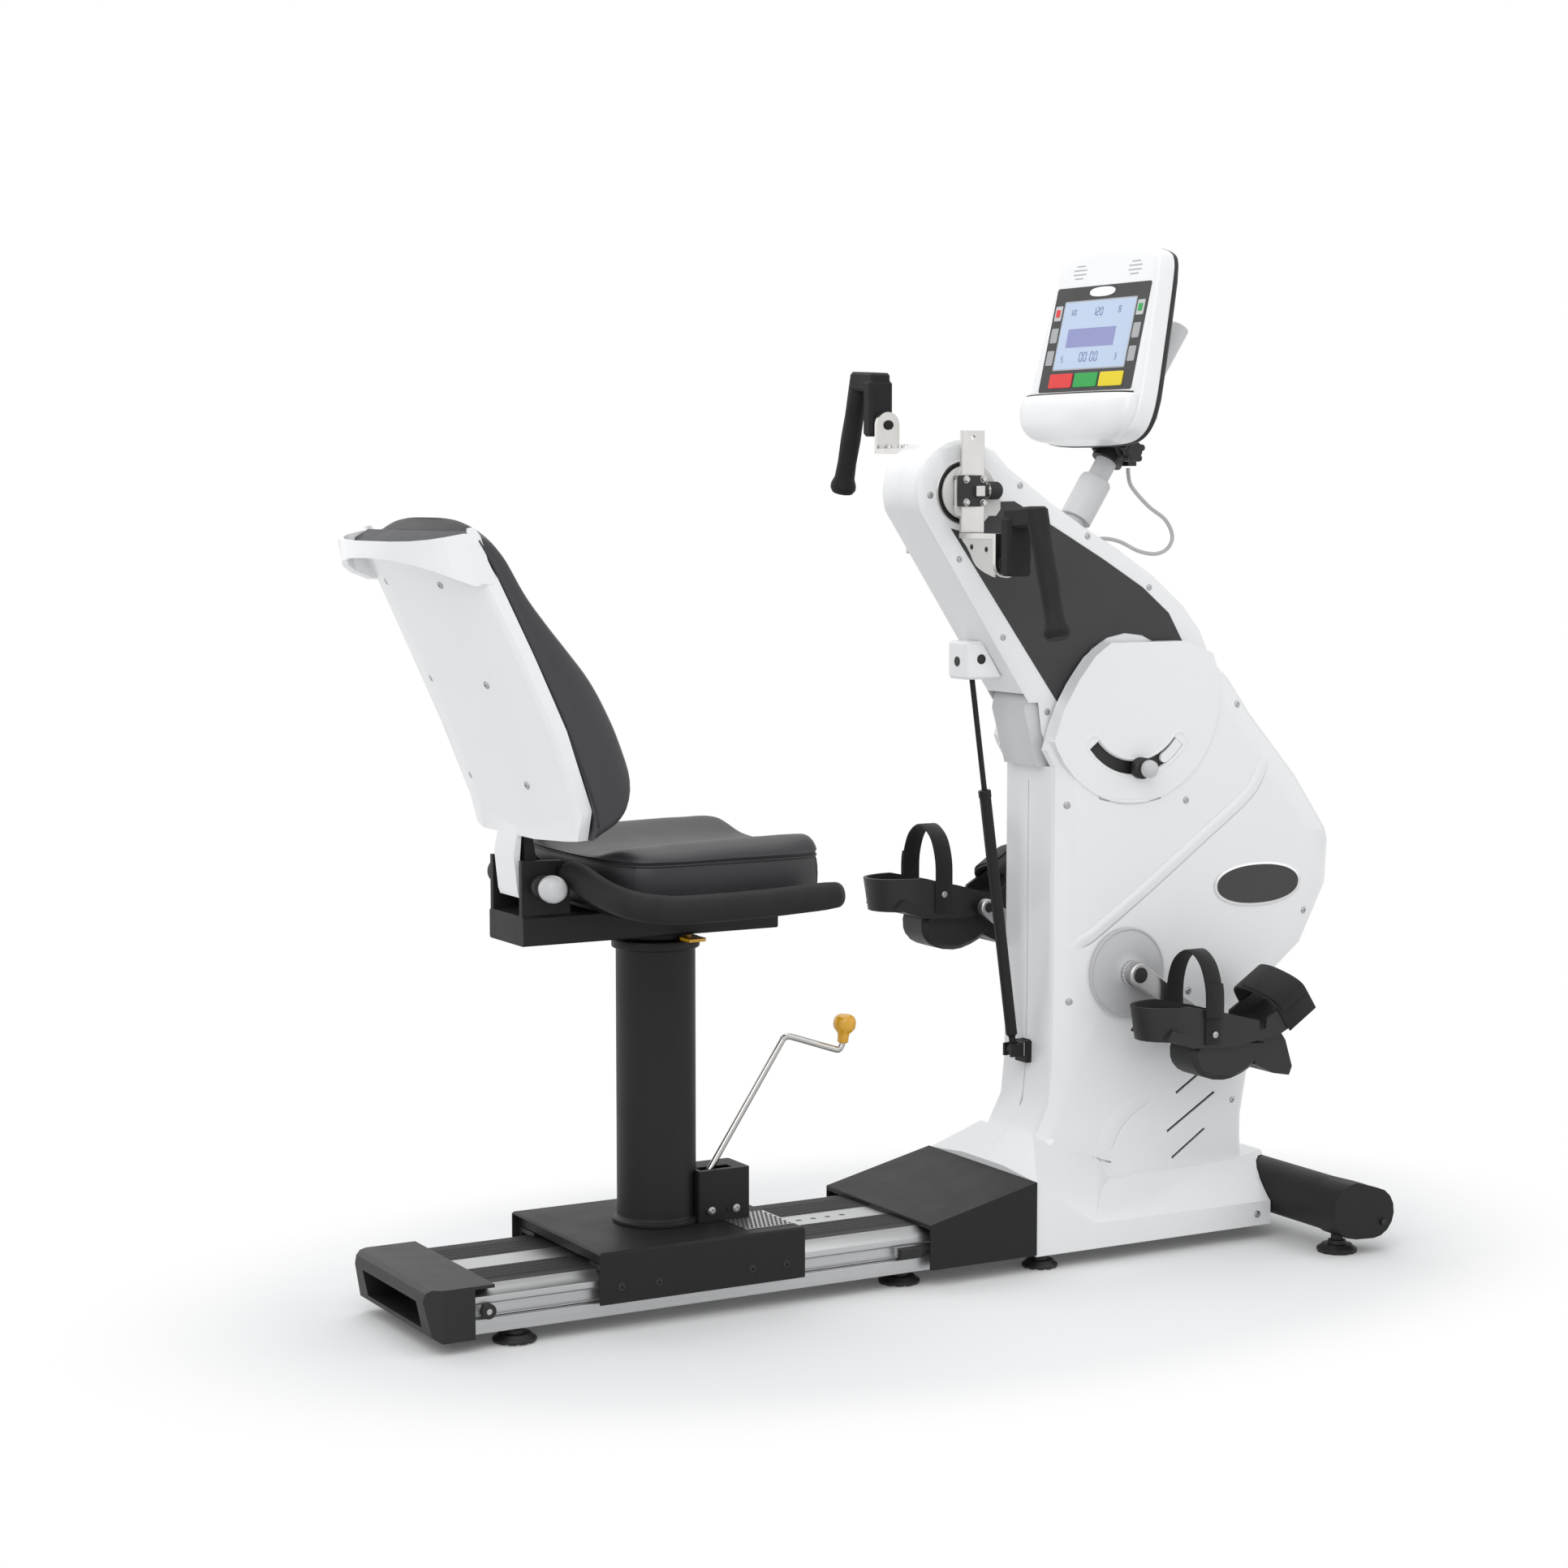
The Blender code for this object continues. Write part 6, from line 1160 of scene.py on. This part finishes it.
WEB = [(0.08, -0.069), (0.172, -0.069), (0.172, -0.128), (0.165, -0.1262), (0.148, -0.122),
       (0.134, -0.1172), (0.123, -0.1118), (0.114, -0.104), (0.106, -0.093), (0.095, -0.082),
       (0.085, -0.0745)]
MAST_FOOT, MAST_SLEEVE, MAST_HEAD = spot(0.394, 0.0, 1.188), spot(0.437, 0.0, 1.259), spot(0.587, 0.0, 1.486)


def crank_spot(sign, a, y, b):
    """Place on a hand crank. The left one is the same piece half a turn on."""
    return spot(HUB[0] - sign * a, sign * y, HUB[1] - sign * b)


def hub(name, sign):
    start, out = spot(HUB[0], sign * ARM_SIDE, HUB[1]), (0, sign, 0)
    piece("hub_seal_" + name, turned(HUB_SEAL, start, out, 80), BLACK, "arm", sharp=40.0)
    piece("hub_rim_" + name, turned(HUB_RIM, start, out, 80), CHROME, "arm", sharp=40.0)
    face = turned(HUB_FACE, spot(HUB[0], 0.0, HUB[1]), out, 72)
    piece("hub_face_" + name, face, SATIN, "hand_cranks", sharp=40.0)


def crank_plate(name, sign):
    gusset = lofted([[crank_spot(sign, a, y, b) for a, b in GUSSET] for y in (0.0762, 0.0818)])
    depths, levels = (0.083, 0.1005), (-0.0215, 0.0265)
    block = [crank_spot(sign, a, y, b) for a in (-0.0305, 0.0125) for y in depths for b in levels]
    piece("crank_gusset_" + name, gusset, SATIN, "hand_cranks", edge=0.0008)
    piece("crank_block_" + name, (block, BOX_FACES), BLACK_STEEL, "hand_cranks", edge=0.002)


def plunger(name, sign):
    """Ribbed pull knob that sets the crank's length."""
    base, first, last = [crank_spot(sign, a, PLUNGER_OUT, PLUNGER_LEVEL) for a in (0.0115, 0.0235, 0.0395)]
    knob = turned(PLUNGER, base, (-sign, 0, 0), 40)
    piece("crank_plunger_" + name, knob, BLACK, "hand_cranks", sharp=35.0)
    ribs = []
    for k in range(20):
        a = 2.0 * math.pi * k / 20
        offset = Vector((0.0, math.cos(a), math.sin(a))) * PLUNGER_RADIUS
        line = [first + offset, last + offset]
        ribs.append(tube(line, 0.0009, 6))
    piece("plunger_ribs_" + name, ribs, BLACK, "hand_cranks", sharp=50.0)


def crank_fasteners(name, sign):
    out = (0, sign, 0)
    heads = [screw_head(crank_spot(sign, a, 0.1004, b), out, 0.0046, 0.0046) for a, b in BLOCK_SCREWS]
    heads += [screw_head(crank_spot(sign, a, y, -0.0702), (0, 0, sign), 0.0044, 0.006)
              for a in (-0.01, 0.01) for y in (0.1, 0.15)]
    piece("crank_screws_" + name, heads, CHROME, "hand_cranks", sharp=40.0)
    race = turned(GRIP_BEARING, crank_spot(sign, 0.0, 0.1781, -HAND_RADIUS), out)
    piece("grip_bearing_" + name, race, BLACK_STEEL, "hand_cranks", sharp=40.0)


def crank_web():
    """Rounded stiffening plate under the foot of the near hand crank, with its two screws."""
    plate = lofted([[crank_spot(-1, a, y, b) for y, b in WEB] for a in (-0.0206, -0.0162)])
    piece("crank_web", plate, SATIN, "hand_cranks", edge=0.0006)
    heads = [screw_head(crank_spot(-1, -0.0206, y, b), (-1, 0, 0), 0.0034, 0.0016)
             for y, b in ((0.111, -0.083), (0.152, -0.086))]
    piece("crank_web_screws", heads, BLACK_STEEL, "hand_cranks", sharp=40.0)


def arm_trim():
    for name, side in SIDES:
        side_screws("arm_shell_" + name, ARM_SCREWS, side, 0.0044, 0.0016)
    for name, side in SIDES:
        hub(name, side)
        crank_plate(name, side)
        plunger(name, side)
        crank_fasteners(name, side)
    crank_web()


def mast():
    rise = (MAST_HEAD - MAST_FOOT).normalized()
    foot = MAST_FOOT - rise * 0.015
    top = (MAST_HEAD - foot).length
    sleeve = (MAST_SLEEVE - MAST_FOOT).length - 0.022
    profile = [(0.0, 0.0), (0.026, 0.0), (0.0262, 0.002), (0.0262, sleeve + 0.008), (0.0254, sleeve + 0.0115),
               (0.024, sleeve + 0.014), (0.019, sleeve + 0.0146), (0.0175, sleeve + 0.0152),
               (0.0175, top - 0.003), (0.0168, top - 0.0008), (0.0155, top), (0.015, top - 0.0015),
               (0.015, top - 0.08)]
    pole, body = turned(profile, foot, rise, 72), body_of("console_mast")
    piece("console_mast_tube", pole, MAST_WHITE, body, sharp=35.0, stands_for="console_mast")


# Console. Outlines on its leaning face are (y, z) pairs, and depth grows towards its back

CONSOLE_HALF = [(0.0, 1.614), (0.045, 1.613), (0.09, 1.608), (0.12, 1.599), (0.133, 1.585), (0.139, 1.56),
                (0.146, 1.5), (0.153, 1.43), (0.158, 1.372), (0.155, 1.34), (0.144, 1.318), (0.118, 1.304),
                (0.07, 1.299), (0.0, 1.298)]
FACE_LAYERS = [(-0.0034, 0.02), (-0.0032, 0.012), (-0.0024, 0.0065), (-0.0006, 0.0028), (0.0022, 0.0008),
               (0.006, 0.0), (0.028, 0.0)]
GASKET_LAYERS = [(0.027, -0.0003), (0.0283, -0.0008), (0.033, -0.0008), (0.0345, -0.0003)]
LEDGE = 1.3705
CHIN_LOW = 1.2985
CHIN_SWELL = 1.352
CHIN_REACH = 0.034
CHIN_LIP = 0.021
DIGITS = {"0": "abcdef", "1": "bc", "2": "abged", "3": "abgcd", "5": "afgcd", "6": "afgedc", "8": "abcdefg"}
BARS = {"a": (0.0, 1.0, True), "g": (0.0, 0.5, True), "d": (0.0, 0.0, True), "f": (1.0, 0.75, False),
        "b": (-1.0, 0.75, False), "e": (1.0, 0.25, False), "c": (-1.0, 0.25, False)}
NUMERALS = [("1", 0.012, 1.506, 0.012), ("2", 0.002, 1.506, 0.012), ("0", -0.008, 1.506, 0.012),
            ("6", 0.072, 1.507, 0.008), ("0", 0.065, 1.507, 0.008), ("8", -0.058, 1.507, 0.01),
            ("0", 0.026, 1.434, 0.014), ("0", 0.014, 1.434, 0.014), ("0", -0.004, 1.434, 0.014),
            ("0", -0.016, 1.434, 0.014), ("5", 0.078, 1.432, 0.009), ("3", -0.07, 1.432, 0.009)]
SPEAKER_SLOTS = [(-0.01, 0.012), (-0.0035, 0.018), (0.0035, 0.018), (0.01, 0.012)]


def face_spot(y, z, depth):
    return spot(0.422 + (z - 1.46) * math.tan(FACE_LEAN) + depth, y, z - depth * math.tan(FACE_LEAN))


def face_loft(layers, caps=True):
    """Solid through outlines, each with its depth."""
    return lofted([[face_spot(y, z, depth) for y, z in outline] for depth, outline in layers], caps=caps)


def on_face(name, outline, low, high, paint, edge=0.0, sharp=30.0):
    """Plate on the console's face between two depths."""
    plate = face_loft([(low, outline), (high, outline)])
    piece(name, plate, paint, "console", edge, None if edge else sharp)


def inset_loop(points, amount):
    out = []
    for i, point in enumerate(points):
        run = (Vector(points[(i + 1) % len(points)]) - Vector(points[i - 1])).normalized()
        out.append((point[0] + run.y * amount, point[1] - run.x * amount))
    return out


def console_loop():
    half = [(p.x, p.z) for p in smooth_line(upright(CONSOLE_HALF))]
    return half + [(-y, z) for y, z in reversed(half[1:-1])]


def console_shell():
    loop = console_loop()
    face = face_loft([(depth, inset_loop(loop, inset)) for depth, inset in FACE_LAYERS])
    piece("console_face", face, WHITE, "console", sharp=50.0, stands_for="console_front")
    chin()
    gasket = face_loft([(depth, inset_loop(loop, inset)) for depth, inset in GASKET_LAYERS], caps=False)
    piece("console_gasket", gasket, BLACK, "console", sharp=40.0)


def chin_front(z, half, bulge):
    turns = [math.pi * (k / 36.0 - 0.5) for k in range(37)]
    return [face_spot(half * math.sin(a), z, -bulge * max(0.0, math.cos(a)) ** 0.42) for a in turns]


def chin():
    """Swollen lower lip of the console with the ledge on it. Rows are (height, half width, bulge)."""
    rows = []
    for step in range(15):
        a = math.radians(-90.0 + 90.0 * step / 14)
        z = CHIN_SWELL + (CHIN_SWELL - CHIN_LOW) * math.sin(a)
        bulge = 0.004 + (CHIN_REACH - 0.004) * math.cos(a) ** 0.85
        rows.append((z, 0.074 + 0.079 * math.cos(a) ** 0.7, bulge))
    for step in range(1, 9):
        a = math.radians(90.0 * step / 8)
        z = CHIN_SWELL + (LEDGE - CHIN_SWELL) * math.sin(a)
        rows.append((z, 0.153, CHIN_LIP + (CHIN_REACH - CHIN_LIP) * math.cos(a)))
    rows += [(LEDGE + 0.0002, 0.1515, CHIN_LIP - 0.002), (LEDGE - 0.002, 0.1505, CHIN_LIP - 0.0032)]
    rings = []
    for z, half, bulge in rows:
        rings.append(chin_front(z, half, bulge) + [face_spot(y * half, z, 0.014) for y in (0.9, -0.9)])
    piece("console_chin", lofted(rings), WHITE, "console", sharp=60.0, stands_for="console_front")
    # Black line along the ledge's edge: painted shade of the gap between the ledge and the face.
    line = chin_front(LEDGE + 0.0014, 0.1525, CHIN_LIP - 0.0022)[3:34]
    piece("ledge_painted_shade", tube(line, 0.0017, 10), BLACK, "console")


def digit(value, y, z, tall):
    """Seven-segment numeral as thin plates on the display. y is its middle and runs to the viewer's left."""
    plates = []
    for key in DIGITS[value]:
        side, level, flat = BARS[key]
        cy, cz = y + side * tall * 0.26, z + (level - 0.5) * tall
        dy, dz = (tall * 0.208, tall * 0.05) if flat else (tall * 0.05, tall * 0.2)
        bar = [(cy - dy, cz - dz), (cy + dy, cz - dz), (cy + dy, cz + dz), (cy - dy, cz + dz)]
        points, faces = face_loft([(-0.00435, bar), (-0.004, bar)])
        plates.append(([p - Vector((0.0007, 0.0, 0.0)) for p in points], faces))
    return plates


def display():
    overlay = rounded_box(0.0, 1.4635, 0.129, 0.0845, 0.004)
    on_face("console_overlay", overlay, -0.0028, -0.0042, OVERLAY, sharp=40.0)
    on_face("display_frame", rounded_box(0.0, 1.4695, 0.1, 0.056, 0.002), -0.003, -0.00445, KEY_GREY)
    on_face("display", rounded_box(0.0, 1.4695, 0.0975, 0.054, 0.0015), -0.003, -0.0046, SCREEN)
    on_face("display_block", rounded_box(0.009, 1.465, 0.066, 0.015, 0.0008), -0.004, -0.0048, SEGMENT)
    marks = [plate for numeral in NUMERALS for plate in digit(*numeral)]
    piece("display_numerals", marks, SEGMENT_DARK, "console", sharp=30.0)
    on_face("console_badge", oval((0.0, 1.5375), 0.035, 0.0078, 48, 2.4), -0.003, -0.0052, RIM, edge=0.0006)


def keys():
    """Small keys beside the display, two of them with a coloured mark, and three wide ones under it."""
    places = [(y, z) for y in (-0.1135, 0.1135) for z in (1.507, 1.471, 1.4345)]
    for number, (y, z) in enumerate(places, 1):
        colour = None if z < 1.5 else RED if y > 0 else GREEN
        key = rounded_box(y, z, 0.0095, 0.012, 0.0022)
        on_face(f"side_key_{number}", key, -0.0036, -0.0052, KEY_PALE if colour else KEY_GREY, edge=0.0005)
        if colour:
            mark = rounded_box(y, z, 0.0055, 0.006, 0.0015)
            on_face(f"side_key_mark_{number}", mark, -0.005, -0.0057, colour)
    for name, y, paint in (("red", 0.07, RED), ("green", 0.0, GREEN), ("yellow", -0.07, AMBER)):
        key = rounded_box(y, 1.3965, 0.032, 0.0115, 0.0025)
        on_face("key_" + name, key, -0.0036, -0.0054, paint, edge=0.0006)


def speaker_slots():
    slots = []
    for y in (-0.076, 0.076):
        for offset, reach in SPEAKER_SLOTS:
            outline = rounded_box(y, 1.572 + offset, reach, 0.0012, 0.0011, 3)
            slots.append(face_loft([(-0.0025, outline), (-0.00345, outline)]))
    piece("speaker_slots", slots, SLOT_GREY, "console", sharp=40.0)


CABLE_POINTS = [(0.4815, -0.01, 1.257), (0.4815, -0.0105, 1.248), (0.483, -0.018, 1.227),
                (0.512, -0.024, 1.196), (0.543, -0.028, 1.174), (0.556, -0.03, 1.148),
                (0.547, -0.03, 1.128), (0.524, -0.028, 1.119), (0.493, -0.024, 1.124),
                (0.461, -0.018, 1.139), (0.437, -0.012, 1.144), (0.416, -0.006, 1.1423)]
CABLE_RADIUS = 0.0032


def cable():
    path = smooth_line(list(reversed(at(CABLE_POINTS))))
    cord = piece("console_lead", tube(path, CABLE_RADIUS), CABLE_GREY, None, stands_for="console_cable")
    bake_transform(cord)


def rail_and_seat():
    grip_strips()
    rail_trim()
    levelling_feet()
    carriage_trim()
    lever()
    seat_cushion()
    back_cushion()
    for side in SIDES:
        armrest(*side)


def drive_and_arm():
    knobs()
    for side in SIDES:
        straps(*side)
    for side in SIDES:
        housing_trim(*side)
    badge()
    slot()
    drive_trim()
    housing_seam()
    spring_plugs()
    arm_trim()
    mast()


def build():
    camera()
    cable()
    studio()
    floor()
    dress_nodes()
    spring_foot()
    rail_and_seat()
    drive_and_arm()
    console_shell()
    display()
    keys()
    speaker_slots()
    back_shell_screws()
    hoop_liner()
    hoop_wings()


build()
